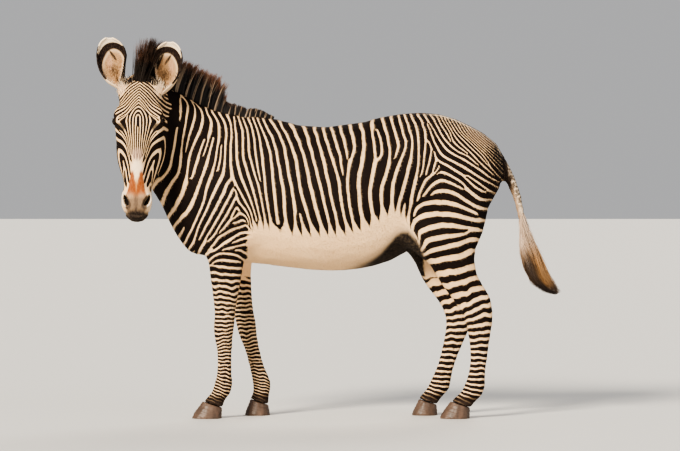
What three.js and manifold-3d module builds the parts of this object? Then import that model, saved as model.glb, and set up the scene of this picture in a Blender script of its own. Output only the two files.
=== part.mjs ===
// A life-size still model of a Grevy's zebra, standing square with its head turned to its own left.
// Millimetres, +Z up, nose end towards -X, the animal's left side towards -Y, soles on z = 0.
//
// The flesh is one smooth body: limbs, each a chain of oval sections along a bone, melt into one another.
// That body is meshed region by region and parted with thin plane cuts into the named sub-parts.
// Hooves, eyes, ears, mane and tail tuft are pieces of their own.

import * as THREE from "three";
import { mergeVertices } from "three/addons/utils/BufferGeometryUtils.js";
import Module from "manifold-3d";

const wasm = await Module();
wasm.setup();

// ---------------------------------------------------------------- driving dimensions

const CUT = 0.3; // gap left by each parting cut
const HAIR_GAP = 3.5; // gap between the body and a piece of hair or an ear set against it
const WITHERS = 1500; // height of the back over the shoulders
const CROUP = 1524; // height of the back over the hips
const BELLY = 730; // height of the lowest point of the belly
const LEG_CUT = 700; // the four legs are parted from the trunk below the belly line
const KNEE_CUT = 425; // forelegs: just under the knee
const HOCK_CUT = 490; // hind legs: just under the hock
const EYE_RADIUS = 22;
const EYE_SOCKET_GAP = 0.6;
const HEAD_YAW = 6; // degrees past square-on, away from the trunk
const HEAD_PITCH = 12; // degrees that the muzzle swings forward of plumb
const EYE_TO_MIDDLE = 105; // eye centre from the middle of the face
const EAR_LENGTH = 244;
const EAR_HALF_WIDTH = 76;
const EAR_WALL = 9;
const HOOF_HEIGHT = 70;

const LEFT = -1; // the sign of y on each side of the animal
const RIGHT = 1;

const vec = (x, y, z) => new THREE.Vector3(x, y, z);

// ---------------------------------------------------------------- smooth solids as distance functions

const SUBSTEPS = 4; // straight lengths between two stations of a limb

// Catmull-Rom between rows of numbers, so that a limb's sizes run as smoothly as its line.
function refined(rows) {
  const row = (i) => rows[THREE.MathUtils.clamp(i, 0, rows.length - 1)];
  const fine = [];
  for (let i = 0; i < rows.length - 1; i++) {
    for (let s = 0; s < SUBSTEPS; s++) {
      const t = s / SUBSTEPS;
      fine.push(
        rows[i].map((p1, k) => {
          const p0 = row(i - 1)[k];
          const p2 = row(i + 1)[k];
          const p3 = row(i + 2)[k];
          const bend = (2 * p0 - 5 * p1 + 4 * p2 - p3) * t * t + (3 * (p1 - p2) + p3 - p0) * t * t * t;
          return p1 + 0.5 * ((p2 - p0) * t + bend);
        }),
      );
    }
  }
  fine.push(rows.at(-1));
  return fine;
}

// A limb: stations [x, y, z, lead, trail, side, ridge] along its line. lead and trail are the section's half
// depths towards the lead direction and away from it, side its half width, and ridge how much
// narrower the section grows towards its lead edge. Returns { distance(x, y, z), box }.
function limb(stations, lead, power = 2) {
  const rows = refined(stations.map((s) => [...s, ...Array(7 - s.length).fill(0)]));
  const box = new THREE.Box3();
  const segments = [];
  for (let i = 0; i < rows.length - 1; i++) {
    const [a, b] = [rows[i], rows[i + 1]];
    const step = vec(b[0] - a[0], b[1] - a[1], b[2] - a[2]);
    const axis = step.clone().normalize();
    const up = lead.clone().addScaledVector(axis, -lead.dot(axis)).normalize();
    const across = new THREE.Vector3().crossVectors(axis, up);
    const widest = 1.15 * Math.max(a[3], a[4], a[5], b[3], b[4], b[5]);
    segments.push({ a, b, step, axis, up, across, length2: step.lengthSq(), widest });
    for (const r of [a, b]) {
      const most = Math.max(r[3], r[4], r[5]);
      box.expandByPoint(vec(r[0], r[1], r[2]).subScalar(most));
      box.expandByPoint(vec(r[0], r[1], r[2]).addScalar(most));
    }
  }
  const round = power === 2;
  function distance(x, y, z) {
    let best = Infinity;
    for (const s of segments) {
      const { a, b, step, axis, up, across } = s;
      let qx = x - a[0];
      let qy = y - a[1];
      let qz = z - a[2];
      const t = Math.min(1, Math.max(0, (qx * step.x + qy * step.y + qz * step.z) / s.length2));
      qx -= t * step.x;
      qy -= t * step.y;
      qz -= t * step.z;
      const reach = Math.sqrt(qx * qx + qy * qy + qz * qz);
      if (reach - s.widest > best) continue;
      const d = qx * up.x + qy * up.y + qz * up.z;
      const w = qx * across.x + qy * across.y + qz * across.z;
      const e = qx * axis.x + qy * axis.y + qz * axis.z;
      const k = d > 0 ? 3 : 4;
      const depth = a[k] + (b[k] - a[k]) * t;
      const rise = Math.min(1, Math.max(0, d / depth));
      const width = (a[5] + (b[5] - a[5]) * t) * (1 - (a[6] + (b[6] - a[6]) * t) * rise * rise);
      const [rw, rd, re] = [Math.abs(w) / width, Math.abs(d) / depth, Math.abs(e) / Math.min(depth, width)];
      const r = round ? Math.sqrt(rw * rw + rd * rd + re * re) : (rw ** power + rd ** power + re ** power) ** (1 / power);
      const here = r > 1e-6 ? reach * (1 - 1 / r) : -Math.min(depth, width);
      if (here < best) best = here;
    }
    return best;
  }
  return { distance, box };
}

// One oval lump, such as a muscle's belly or a bony rim, lying along a short line.
function lump(centre, along, half, lead, depth, side) {
  const a = centre.clone().addScaledVector(along, -half);
  const b = centre.clone().addScaledVector(along, half);
  const row = (p, k) => [p.x, p.y, p.z, depth * k, depth * k, side * k];
  return limb([row(a, 0.8), row(centre, 1), row(b, 0.8)], lead);
}

// The smooth union of some solids: each is { solid, blend }, blend being the radius of the fillet at its joins.
function melt(members) {
  return (x, y, z) => {
    let best = 1e6;
    for (const { solid, blend } of members) {
      const { min, max } = solid.box;
      const dx = Math.max(min.x - x, 0, x - max.x);
      const dy = Math.max(min.y - y, 0, y - max.y);
      const dz = Math.max(min.z - z, 0, z - max.z);
      if (Math.max(dx, dy, dz) > best + blend) continue;
      const d = solid.distance(x, y, z);
      const h = Math.max(blend - Math.abs(best - d), 0) / blend;
      best = Math.min(best, d) - (h * h * blend) / 4;
    }
    return best;
  };
}

// ---------------------------------------------------------------- meshing and parting

// Surface nets: one vertex in each cell that the surface crosses, one quad across each crossed grid edge.
// Blocks of cells that lie well away from the surface are passed over after one look at their middle.
const BLOCK = 4;
function meshed(distance, box, cell) {
  const size = box.getSize(new THREE.Vector3());
  const n = [size.x, size.y, size.z].map((s) => BLOCK * Math.ceil(s / cell / BLOCK));
  const at = (i, j, k) => i + n[0] * (j + n[1] * k);
  const sample = (i, j, k) => distance(box.min.x + i * cell, box.min.y + j * cell, box.min.z + k * cell);
  const value = new Float32Array(n[0] * n[1] * n[2]);
  const middle = (BLOCK - 1) / 2;
  for (let k = 0; k < n[2]; k += BLOCK) {
    for (let j = 0; j < n[1]; j += BLOCK) {
      for (let i = 0; i < n[0]; i += BLOCK) {
        const rough = sample(i + middle, j + middle, k + middle);
        const far = Math.abs(rough) > BLOCK * cell * 2;
        for (let c = 0; c < BLOCK ** 3; c++) {
          const [x, y, z] = [i + (c % BLOCK), j + (Math.floor(c / BLOCK) % BLOCK), k + Math.floor(c / BLOCK ** 2)];
          const rim = x === 0 || y === 0 || z === 0 || x === n[0] - 1 || y === n[1] - 1 || z === n[2] - 1;
          const d = far ? rough : sample(x, y, z);
          value[at(x, y, z)] = rim ? Math.max(d, cell / 2) : d;
        }
      }
    }
  }
  const corners = [0, 1, 2, 3, 4, 5, 6, 7].map((c) => [c & 1, (c >> 1) & 1, c >> 2]);
  const edges = [];
  for (let a = 0; a < 8; a++) {
    for (const bit of [1, 2, 4]) {
      if (!(a & bit)) edges.push([a, a | bit]);
    }
  }
  const vertexOf = new Int32Array(value.length).fill(-1);
  const positions = [];
  for (let k = 0; k < n[2] - 1; k++) {
    for (let j = 0; j < n[1] - 1; j++) {
      for (let i = 0; i < n[0] - 1; i++) {
        const v = corners.map(([x, y, z]) => value[at(i + x, j + y, k + z)]);
        const under = v.filter((d) => d < 0).length;
        if (under === 0 || under === 8) continue;
        const sum = [0, 0, 0];
        let crossed = 0;
        for (const [a, b] of edges) {
          if (v[a] < 0 === v[b] < 0) continue;
          const t = v[a] / (v[a] - v[b]);
          for (let c = 0; c < 3; c++) sum[c] += corners[a][c] + t * (corners[b][c] - corners[a][c]);
          crossed++;
        }
        vertexOf[at(i, j, k)] = positions.length / 3;
        positions.push(
          box.min.x + (i + sum[0] / crossed) * cell,
          box.min.y + (j + sum[1] / crossed) * cell,
          box.min.z + (k + sum[2] / crossed) * cell,
        );
      }
    }
  }
  const index = [];
  const strides = [1, n[0], n[0] * n[1]];
  for (let c = 0; c < 3; c++) {
    const [u, w] = [strides[(c + 1) % 3], strides[(c + 2) % 3]];
    for (let here = 0; here < value.length - strides[c]; here++) {
      const beyond = here + strides[c];
      if (value[here] < 0 === value[beyond] < 0) continue;
      const quad = [here - u - w, here - w, here, here - u].map((q) => vertexOf[q]);
      if (value[here] >= 0) quad.reverse();
      index.push(quad[0], quad[1], quad[2], quad[0], quad[2], quad[3]);
    }
  }
  const geometry = new THREE.BufferGeometry();
  geometry.setAttribute("position", new THREE.Float32BufferAttribute(positions, 3));
  geometry.setIndex(index);
  return geometry;
}

function solidOf(geometry) {
  const bare = geometry.clone();
  bare.deleteAttribute("normal");
  bare.deleteAttribute("uv");
  const merged = mergeVertices(bare, 1e-3);
  return new wasm.Manifold(
    new wasm.Mesh({
      numProp: 3,
      vertProperties: new Float32Array(merged.attributes.position.array),
      triVerts: new Uint32Array(merged.index.array),
    }),
  );
}

function geometryOf(solid) {
  const mesh = solid.getMesh();
  const positions = new Float32Array(mesh.numVert * 3);
  for (let i = 0; i < mesh.numVert; i++) {
    positions.set(mesh.vertProperties.subarray(i * mesh.numProp, i * mesh.numProp + 3), i * 3);
  }
  const geometry = new THREE.BufferGeometry();
  geometry.setAttribute("position", new THREE.BufferAttribute(positions, 3));
  geometry.setIndex(new THREE.BufferAttribute(mesh.triVerts, 1));
  return geometry.toNonIndexed();
}

// A parting plane: through a point, with the normal towards the side that is kept.
const side = (point, normal) => ({ point, normal: normal.clone().normalize() });
const flipped = ({ point, normal }) => ({ point, normal: normal.clone().negate() });

// The same solid in fewer triangles: the edges whose loss moves the surface least are closed up, a batch at a
// time, each to the point that lies nearest to all the planes it stands for.
function reduced(solid, triangles) {
  const mesh = solid.getMesh();
  const points = [];
  for (let i = 0; i < mesh.numVert; i++) points.push(vec(...mesh.vertProperties.subarray(i * mesh.numProp, i * mesh.numProp + 3)));
  let faces = [];
  for (let i = 0; i < mesh.numTri; i++) faces.push([...mesh.triVerts.subarray(i * 3, i * 3 + 3)]);
  const [ab, ac] = [vec(0, 0, 0), vec(0, 0, 0)];
  const normalOf = (a, b, c, out) => out.crossVectors(ab.subVectors(b, a), ac.subVectors(c, a));
  const planes = points.map(() => new Float64Array(10));
  const normal = vec(0, 0, 0);
  for (const f of faces) {
    normalOf(...f.map((v) => points[v]), normal);
    const area = normal.length();
    if (area < 1e-9) continue;
    normal.divideScalar(area);
    const q = [normal.x, normal.y, normal.z, -normal.dot(points[f[0]])];
    let at = 0;
    for (let i = 0; i < 4; i++) {
      for (let j = i; j < 4; j++) {
        for (const v of f) planes[v][at] += q[i] * q[j] * area;
        at++;
      }
    }
  }
  const m = new THREE.Matrix3();
  function closing(a, b) {
    const q = planes[a].map((v, i) => v + planes[b][i]);
    const middle = points[a].clone().add(points[b]).multiplyScalar(0.5);
    const slack = 1e-3 * (q[0] + q[4] + q[7]) + 1e-9; // keeps a flat place's new point near the edge
    m.set(q[0] + slack, q[1], q[2], q[1], q[4] + slack, q[5], q[2], q[5], q[7] + slack).invert();
    const to = vec(slack * middle.x - q[3], slack * middle.y - q[6], slack * middle.z - q[8]).applyMatrix3(m);
    if (to.distanceTo(middle) > 2 * points[a].distanceTo(points[b])) to.copy(middle);
    const { x, y, z } = to;
    const squares = q[0] * x * x + q[4] * y * y + q[7] * z * z + q[9];
    const products = q[1] * x * y + q[2] * x * z + q[5] * y * z + q[3] * x + q[6] * y + q[8] * z;
    return { a, b, to, cost: squares + 2 * products + slack * to.distanceToSquared(middle) };
  }
  const [was, is] = [vec(0, 0, 0), vec(0, 0, 0)];
  while (faces.length > triangles) {
    const around = points.map(() => []);
    for (const f of faces) for (const v of f) around[v].push(f);
    const ring = (v) => new Set(around[v].flat());
    const edges = [];
    for (const f of faces) {
      for (let i = 0; i < 3; i++) {
        if (f[i] < f[(i + 1) % 3]) edges.push(closing(f[i], f[(i + 1) % 3]));
      }
    }
    edges.sort((e, g) => e.cost - g.cost);
    const busy = new Uint8Array(points.length);
    const gone = new Set();
    const most = Math.min(edges.length, Math.max(40, edges.length / 4));
    for (let i = 0; i < most && faces.length - gone.size > triangles; i++) {
      const { a, b, to } = edges[i];
      const [ringA, ringB] = [ring(a), ring(b)];
      const both = new Set([...ringA, ...ringB]);
      if ([...both].some((v) => busy[v])) continue;
      if ([...ringA].filter((v) => ringB.has(v)).length !== 4) continue;
      const turned = [a, b].some((v) =>
        around[v].some((f) => {
          if (f.includes(a) && f.includes(b)) return false;
          normalOf(...f.map((k) => points[k]), was);
          normalOf(...f.map((k) => (k === v ? to : points[k])), is);
          return was.dot(is) < 0.25 * was.length() * is.length() || is.length() < 0.02 * was.length();
        }),
      );
      if (turned) continue;
      for (const v of both) busy[v] = 1;
      points[a].copy(to);
      planes[a] = planes[a].map((v, k) => v + planes[b][k]);
      for (const f of around[b]) {
        if (f.includes(a)) gone.add(f);
        else f[f.indexOf(b)] = a;
      }
    }
    if (!gone.size) break;
    faces = faces.filter((f) => !gone.has(f));
  }
  const geometry = new THREE.BufferGeometry();
  geometry.setAttribute("position", new THREE.Float32BufferAttribute(points.flatMap((p) => p.toArray()), 3));
  geometry.setIndex(faces.flat());
  return solidOf(geometry);
}

const trimmed = (solid, planes) =>
  planes.reduce((s, { point, normal }) => s.trimByPlane(normal.toArray(), normal.dot(point) + CUT / 2), solid);
const largest = (solid) => solid.decompose().sort((a, b) => b.volume() - a.volume())[0];

// The piece of a distance function inside a box and on the kept side of each plane: its largest body, in about
// the given number of triangles.
function parted(distance, box, cell, triangles, planes = []) {
  return reduced(largest(trimmed(solidOf(meshed(distance, box, cell)), planes)), triangles);
}

const boxOf = (x0, x1, y0, y1, z0, z1) => new THREE.Box3(vec(x0, y0, z0), vec(x1, y1, z1));

// ---------------------------------------------------------------- trunk, neck and tail

const UP = vec(0, 0, 1);
const FORWARD = vec(-1, 0, 0);

// From the breast to the buttocks. Each row: x, y, middle z, half height up, half height down, half width, ridge.
const trunkRow = (x, top, bottom, width, ridge) => [x, 0, (top + bottom) / 2, (top - bottom) / 2, (top - bottom) / 2, width, ridge];
const trunk = limb(
  [
    trunkRow(-618, 1150, 815, 158, 0.1),
    trunkRow(-540, 1360, 765, 200, 0.3),
    trunkRow(-400, WITHERS - 8, 768, 228, 0.52),
    trunkRow(-220, 1462, 748, 254, 0.3),
    trunkRow(-20, 1452, BELLY, 274, 0.2),
    trunkRow(150, 1474, 756, 274, 0.2),
    trunkRow(300, 1509, 866, 256, 0.24),
    trunkRow(430, CROUP, 918, 248, 0.26),
    trunkRow(550, 1506, 960, 236, 0.24),
    trunkRow(650, 1446, 1060, 200, 0.22),
    trunkRow(706, 1352, 1150, 108, 0.15),
  ],
  UP,
  2.15,
);

// From the shoulders up to the back of the skull, swinging over to the animal's left.
const CREST = vec(0.46, 0, 0.89);
const neck = limb(
  [
    [-585, 0, 1185, 345, 312, 178, 0.45],
    [-665, -8, 1262, 300, 282, 148, 0.5],
    [-745, -28, 1345, 255, 255, 124, 0.5],
    [-815, -62, 1424, 206, 206, 106, 0.5],
    [-872, -108, 1492, 168, 168, 94, 0.48],
    [-920, -165, 1540, 128, 140, 84, 0.35],
  ],
  CREST,
);

const tail = limb(
  [
    [762, 0, 1348, 24, 34, 38],
    [812, 0, 1306, 26, 30, 33],
    [849, 0, 1248, 28, 28, 30],
    [888, 0, 1165, 26, 25, 27],
    [920, 0, 1075, 21, 21, 22],
    [935, 0, 985, 17, 17, 18],
    [947, 0, 900, 11, 12, 12],
  ],
  vec(1, 0, 0.35),
);

// ---------------------------------------------------------------- legs

// Each row: x, half track (y), z, half depth forward, half depth back, half width.
const NEAR_FORE = [
  [-430, 95, 1345, 70, 80, 42],
  [-500, 122, 1200, 105, 105, 62],
  [-575, 136, 1040, 112, 130, 76],
  [-552, 142, 900, 104, 118, 74],
  [-542, 138, 800, 90, 98, 66],
  [-540, 128, 700, 78, 80, 57],
  [-543, 121, 600, 62, 64, 47],
  [-545, 117, 520, 53, 54, 41],
  [-549, 115, 448, 54, 52, 45],
  [-549, 114, 396, 47, 44, 40],
  [-548, 113, 330, 37, 40, 31],
  [-549, 112, 235, 36, 40, 30],
  [-556, 112, 158, 45, 49, 38],
  [-578, 112, 108, 41, 40, 36],
  [-600, 112, 62, 56, 46, 48],
];
const FAR_FORE = [
  [-430, 95, 1345, 70, 80, 42],
  [-495, 122, 1200, 105, 105, 62],
  [-560, 136, 1040, 112, 130, 76],
  [-525, 142, 900, 104, 118, 74],
  [-508, 138, 800, 90, 98, 66],
  [-494, 128, 700, 76, 78, 57],
  [-474, 121, 600, 62, 62, 47],
  [-457, 117, 520, 52, 52, 41],
  [-441, 115, 448, 52, 50, 45],
  [-430, 114, 396, 46, 43, 40],
  [-414, 113, 330, 37, 39, 31],
  [-390, 112, 235, 36, 40, 30],
  [-369, 112, 158, 43, 50, 38],
  [-370, 112, 108, 42, 44, 38],
  [-377, 112, 62, 54, 48, 48],
];
const NEAR_HIND = [
  [560, 96, 1330, 120, 120, 92],
  [588, 120, 1190, 178, 176, 112],
  [575, 136, 1050, 202, 188, 104],
  [562, 142, 925, 186, 172, 92],
  [582, 142, 810, 122, 122, 76],
  [614, 137, 705, 92, 98, 60],
  [655, 131, 620, 72, 96, 48],
  [692, 127, 556, 72, 96, 43],
  [715, 124, 490, 66, 76, 42],
  [720, 121, 410, 55, 58, 36],
  [718, 119, 310, 43, 46, 31],
  [708, 118, 225, 42, 45, 31],
  [694, 118, 152, 50, 54, 40],
  [662, 118, 104, 44, 44, 38],
  [634, 118, 62, 57, 47, 49],
];
const FAR_HIND = [
  [560, 96, 1330, 120, 120, 92],
  [580, 120, 1190, 178, 182, 112],
  [552, 136, 1050, 202, 196, 104],
  [522, 142, 925, 186, 172, 92],
  [512, 142, 810, 122, 122, 76],
  [534, 137, 705, 92, 98, 60],
  [576, 131, 620, 72, 94, 48],
  [610, 127, 556, 70, 94, 43],
  [622, 124, 490, 64, 76, 42],
  [608, 121, 410, 53, 58, 36],
  [578, 119, 310, 43, 46, 31],
  [552, 118, 225, 42, 45, 31],
  [530, 118, 156, 50, 54, 40],
  [498, 118, 106, 44, 44, 38],
  [472, 118, 62, 54, 47, 49],
];

const leg = (rows, hand) => limb(rows.map(([x, track, z, ...sizes]) => [x, hand * track, z, ...sizes]), FORWARD);

// Each hoof: how far toe and heel reach from its middle, half width, and how far the sole leads the hairline. The
// right fore and right hind stand more upright on their pasterns than the left pair.
const SLOPING = { toe: 78, heel: 60, width: 60, lean: 22 };
const UPRIGHT = { toe: 66, heel: 58, width: 60, lean: 6 };
const LEGS = [
  { name: "fore_left", rows: NEAR_FORE, hand: LEFT, joint: KNEE_CUT, hoof: SLOPING },
  { name: "fore_right", rows: FAR_FORE, hand: RIGHT, joint: KNEE_CUT, hoof: UPRIGHT },
  { name: "hind_left", rows: NEAR_HIND, hand: LEFT, joint: HOCK_CUT, hoof: SLOPING },
  { name: "hind_right", rows: FAR_HIND, hand: RIGHT, joint: HOCK_CUT, hoof: { ...UPRIGHT, lean: 12 } },
];
for (const l of LEGS) l.solid = leg(l.rows, l.hand);

// ---------------------------------------------------------------- head

// The head's own frame: along runs from the poll to the lips, brow stands out of the forehead, left is the
// animal's left.
const [yaw, pitch] = [HEAD_YAW, HEAD_PITCH].map(THREE.MathUtils.degToRad);
const brow = vec(-Math.sin(yaw) * Math.cos(pitch), -Math.cos(yaw) * Math.cos(pitch), Math.sin(pitch));
const along = vec(-Math.sin(yaw) * Math.sin(pitch), -Math.cos(yaw) * Math.sin(pitch), -Math.cos(pitch));
const left = new THREE.Vector3().crossVectors(brow, along);
const POLL = vec(-964, -318, 1684);
const onHead = (l, s, u) => POLL.clone().addScaledVector(along, l).addScaledVector(left, s).addScaledVector(brow, u);
const headRow = (l, u, up, down, width, ridge = 0) => [...onHead(l, 0, u).toArray(), up, down, width, ridge];

// Rows: distance from the poll, middle below the face, half depth up and down, half width.
const skull = limb(
  [
    headRow(22, -118, 82, 90, 84),
    headRow(90, -118, 106, 118, 108, 0.16),
    headRow(158, -122, 112, 138, 112, 0.12),
    headRow(225, -124, 112, 150, 107, 0.16),
    headRow(298, -120, 106, 138, 92, 0.24),
    headRow(374, -112, 96, 112, 74, 0.22),
    headRow(450, -102, 84, 84, 66, 0.15),
    headRow(515, -94, 74, 68, 70, 0.05),
    headRow(572, -88, 65, 62, 73),
    headRow(612, -84, 56, 60, 74),
    headRow(654, -84, 38, 48, 56),
  ],
  brow,
  2.2,
);
const EYE_STATION = 202;
const eyeAt = (hand) => onHead(EYE_STATION, hand * EYE_TO_MIDDLE, -50);

// The jaw and the round of the cheek. Rows: distance from the poll, out to the side, below the face, half depth,
// half width.
const JAW = [
  [196, 80, -150, 56, 34],
  [268, 88, -172, 76, 36],
  [348, 86, -164, 68, 36],
  [424, 72, -146, 44, 29],
  [486, 48, -126, 28, 18],
];
const headLumps = [];
for (const hand of [-1, 1]) {
  const jaw = JAW.map(([l, s, u, depth, width]) => [...onHead(l, hand * s, u).toArray(), depth, depth, width]);
  headLumps.push(
    { solid: limb(jaw, brow), blend: 46 },
    // brow ridge over the eye, lids around it, cheekbone under it
    { solid: lump(onHead(170, hand * 96, -44), along, 22, brow, 26, 30), blend: 40 },
    { solid: lump(onHead(204, hand * 93, -54), along, 16, brow, 25, 27), blend: 22 },
    { solid: lump(onHead(252, hand * 92, -84), along, 30, brow, 24, 22), blend: 40 },
    // nostril wing
    { solid: lump(onHead(594, hand * 52, -60), along, 26, brow, 30, 22), blend: 20 },
    // base of the ear
    { solid: lump(onHead(30, hand * 90, -98), along, 14, brow, 32, 26), blend: 40 },
  );
}
headLumps.push({ solid: lump(onHead(640, 0, -126), along, 18, brow, 24, 38), blend: 24 });

// Each nostril is an upright comma-shaped hollow, leaning inwards at its lower end.
function nostrils(x, y, z) {
  let d = Infinity;
  for (const hand of [-1, 1]) {
    const p = vec(x, y, z).sub(onHead(598, hand * 55, -42));
    const [l, s, u] = [p.dot(along), p.dot(left) * hand, p.dot(brow)];
    const lean = s + 0.35 * l;
    d = Math.min(d, (Math.hypot(l / 27, lean / 13, u / 24) - 1) * 12);
  }
  return d;
}

// ---------------------------------------------------------------- the whole of the flesh

const shoulderMuscle = (hand) => lump(vec(-470, hand * 150, 1010), vec(0.35, 0, -1).normalize(), 90, FORWARD, 96, 62);
const breastMuscle = (hand) => lump(vec(-682, hand * 78, 922), vec(0.15, 0, -1).normalize(), 52, FORWARD, 82, 62);
const hipBone = (hand) => lump(vec(418, hand * 176, 1372), vec(1, 0, 0.2).normalize(), 30, UP, 46, 40);
const stifle = (hand, x) => lump(vec(x, hand * 168, 905), vec(0.3, 0, -1).normalize(), 46, FORWARD, 52, 44);
const seatBone = (hand) => lump(vec(716, hand * 80, 1182), vec(0.2, 0, 1).normalize(), 62, FORWARD, 92, 70);
const flank = (hand, x) => lump(vec(x, hand * 140, 960), vec(0.8, 0, -0.6).normalize(), 70, FORWARD, 60, 40);

const members = [
  { solid: trunk, blend: 60 },
  { solid: neck, blend: 110 },
  { solid: skull, blend: 46 },
  { solid: tail, blend: 22 },
  ...headLumps,
];
for (const l of LEGS) members.push({ solid: l.solid, blend: 56 });
for (const hand of [LEFT, RIGHT]) {
  members.push(
    { solid: shoulderMuscle(hand), blend: 70 },
    { solid: breastMuscle(hand), blend: 70 },
    { solid: hipBone(hand), blend: 90 },
    { solid: seatBone(hand), blend: 60 },
    { solid: stifle(hand, hand === LEFT ? 440 : 400), blend: 80 },
    { solid: flank(hand, 372), blend: 90 },
  );
}
const wholeBody = melt(members);
const flesh = (x, y, z) => Math.max(wholeBody(x, y, z), -nostrils(x, y, z));

// ---------------------------------------------------------------- parting planes

const kneeOrHock = (l) => side(vec(0, 0, l.joint), UP);
const neckFromChest = side(vec(-640, 0, 1240), vec(-0.8, 0, 0.6));
// The head is what lies in front of the first of these and on the face's side of the second.
const throatCut = side(onHead(240, 0, -287), brow.clone().addScaledVector(along, -0.15));
const cheekCut = side(vec(-772, 0, 0), FORWARD);
const muzzleFromHead = side(onHead(518, 0, 0), along);
const chestFromBarrel = side(vec(-330, 0, 0), FORWARD);
const barrelFromHaunch = side(vec(345, 0, 0), FORWARD);
const tailFromHaunch = side(vec(848, 0, 0), vec(1, 0, 0));
const tuftFromTail = side(vec(936, 0, 985), vec(-0.1, 0, 1));
const aboveLegs = side(vec(0, 0, LEG_CUT), UP);
const coronet = (l) => {
  const [x, track, z] = l.rows.at(-1);
  return side(vec(x - 6, l.hand * track, z + 6), vec(0.32, 0, 1));
};

// ---------------------------------------------------------------- hooves


// A cone of horn that leans forward, wider at the ground than at the hairline, with a flat sole.
function hoofOf(l) {
  const [x, track] = l.rows.at(-1);
  const { toe, heel, width, lean } = l.hoof;
  const row = (z, shift, k) => [x - shift, l.hand * track, z, toe * k, heel * k, width * k];
  const horn = limb([row(-30, lean * 1.5, 1.08), row(0, lean, 1), row(45, lean * 0.36, 0.8), row(110, lean * -0.4, 0.6)], FORWARD, 2.3);
  const region = boxOf(x - 150, x + 110, l.hand * track - 90, l.hand * track + 90, -12, HOOF_HEIGHT + 60);
  const ground = side(vec(0, 0, -CUT / 2), UP);
  return parted(horn.distance, region, 8, 90, [ground, flipped(coronet(l))]);
}

// ---------------------------------------------------------------- eyes and ears

const eyeball = (hand, radius) => {
  const geometry = new THREE.SphereGeometry(radius, 14, 9);
  const at = eyeAt(hand);
  return geometry.translate(at.x, at.y, at.z);
};

// An upright cup: a tapering horn of skin, hollowed from the front, with a rounded tip that nods forwards.
// Rows: height along the ear, how far it stands out to the side and to the front, half width, half depth.
const EAR_ROWS = [
  [-0.1, 0.02, 0, 0.34, 0.4],
  [0.03, 0.08, 0, 0.5, 0.48],
  [0.15, 0.125, -0.01, 0.68, 0.55],
  [0.3, 0.16, -0.01, 0.83, 0.6],
  [0.46, 0.18, -0.01, 0.93, 0.58],
  [0.64, 0.175, 0.01, 1.02, 0.5],
  [0.8, 0.18, 0.03, 0.86, 0.37],
  [0.92, 0.195, 0.06, 0.54, 0.24],
];
function earShape(hand, foot, lean) {
  const facing = brow.clone().addScaledVector(left, hand * 0.18).normalize();
  const row = ([height, out, nod, width, depth], thinner, forward) => {
    const p = foot.clone().addScaledVector(along, -height * EAR_LENGTH).addScaledVector(left, hand * out * lean * EAR_LENGTH);
    p.addScaledVector(facing, nod * EAR_LENGTH + forward);
    const [w, d] = [width, depth].map((k) => Math.max(k * EAR_HALF_WIDTH - thinner, 5));
    return [...p.toArray(), d, d, w];
  };
  const outer = limb(EAR_ROWS.map((r) => row(r, 0, 0)), facing, 2.2);
  const hollow = limb(EAR_ROWS.slice(1).map((r) => row(r, EAR_WALL, 8 + 30 * r[4])), facing, 2.2);
  return { foot, outer, hollow };
}
const EARS = { ear_right: earShape(-1, onHead(10, -104, -98), 1.2), ear_left: earShape(1, onHead(32, 97, -98), 0.66) };
function earSolid({ foot, outer, hollow }) {
  const distance = (x, y, z) => Math.max(outer.distance(x, y, z), -hollow.distance(x, y, z), HAIR_GAP - wholeBody(x, y, z));
  const region = new THREE.Box3().setFromCenterAndSize(foot.clone().addScaledVector(along, -EAR_LENGTH / 2), vec(300, 220, 380));
  return parted(distance, region, 5, 440);
}

// ---------------------------------------------------------------- mane and tail tuft

// The line of the crest on the skin, from the forelock to the withers, with the height of the hair on it.
const MANE = [
  [...onHead(2, 0, -56).toArray(), 142],
  [...onHead(-16, 0, -112).toArray(), 204],
  [-898, -132, 1672, 210],
  [-812, -62, 1636, 176],
  [-710, -22, 1594, 158],
  [-662, -12, 1580, 152],
  [-626, -6, 1569, 124],
  [-596, -3, 1559, 74],
  [-540, 0, 1542, 58],
  [-470, 0, 1521, 52],
  [-390, 0, 1500, 46],
  [-310, 0, 1478, 24],
];
const MANE_ROOT = 60; // how far the brush's inner edge is sunk before the body is cut from it
function maneSolid() {
  const stations = MANE.map(([x, y, z, hair]) => {
    const rise = CREST.clone().multiplyScalar((hair - MANE_ROOT) / 2);
    return [x + rise.x * 0.35, y, z + rise.z, (hair + MANE_ROOT) / 2, (hair + MANE_ROOT) / 2, 15 + hair * 0.1, 0.35];
  });
  const brush = limb(stations, vec(0.12, 0, 1), 2.6);
  const nearest = (x, y, z) => Math.min(wholeBody(x, y, z), ...Object.values(EARS).map((e) => e.outer.distance(x, y, z)));
  const distance = (x, y, z) => Math.max(brush.distance(x, y, z), HAIR_GAP - nearest(x, y, z));
  return parted(distance, boxOf(-1060, -270, -400, 70, 1420, 1920), 10, 700);
}

const tuft = limb(
  [
    [930, 0, 1020, 14, 15, 16],
    [946, 0, 930, 20, 26, 24],
    [962, 0, 850, 28, 36, 30],
    [988, 0, 770, 33, 40, 30],
    [1028, 0, 690, 29, 32, 24],
    [1084, 0, 636, 15, 17, 14],
    [1118, 0, 618, 5, 6, 5],
  ],
  vec(1, 0, 0.35),
);

// ---------------------------------------------------------------- pieces

const skin = { color: 0xd9c3a0, roughness: 0.72, metalness: 0 };
const hair = { color: 0x2b1d15, roughness: 0.8, metalness: 0 };
const horn = { color: 0x6b4f42, roughness: 0.55, metalness: 0 };
const eyeGlaze = { color: 0x140d09, roughness: 0.08, metalness: 0 };

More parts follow.
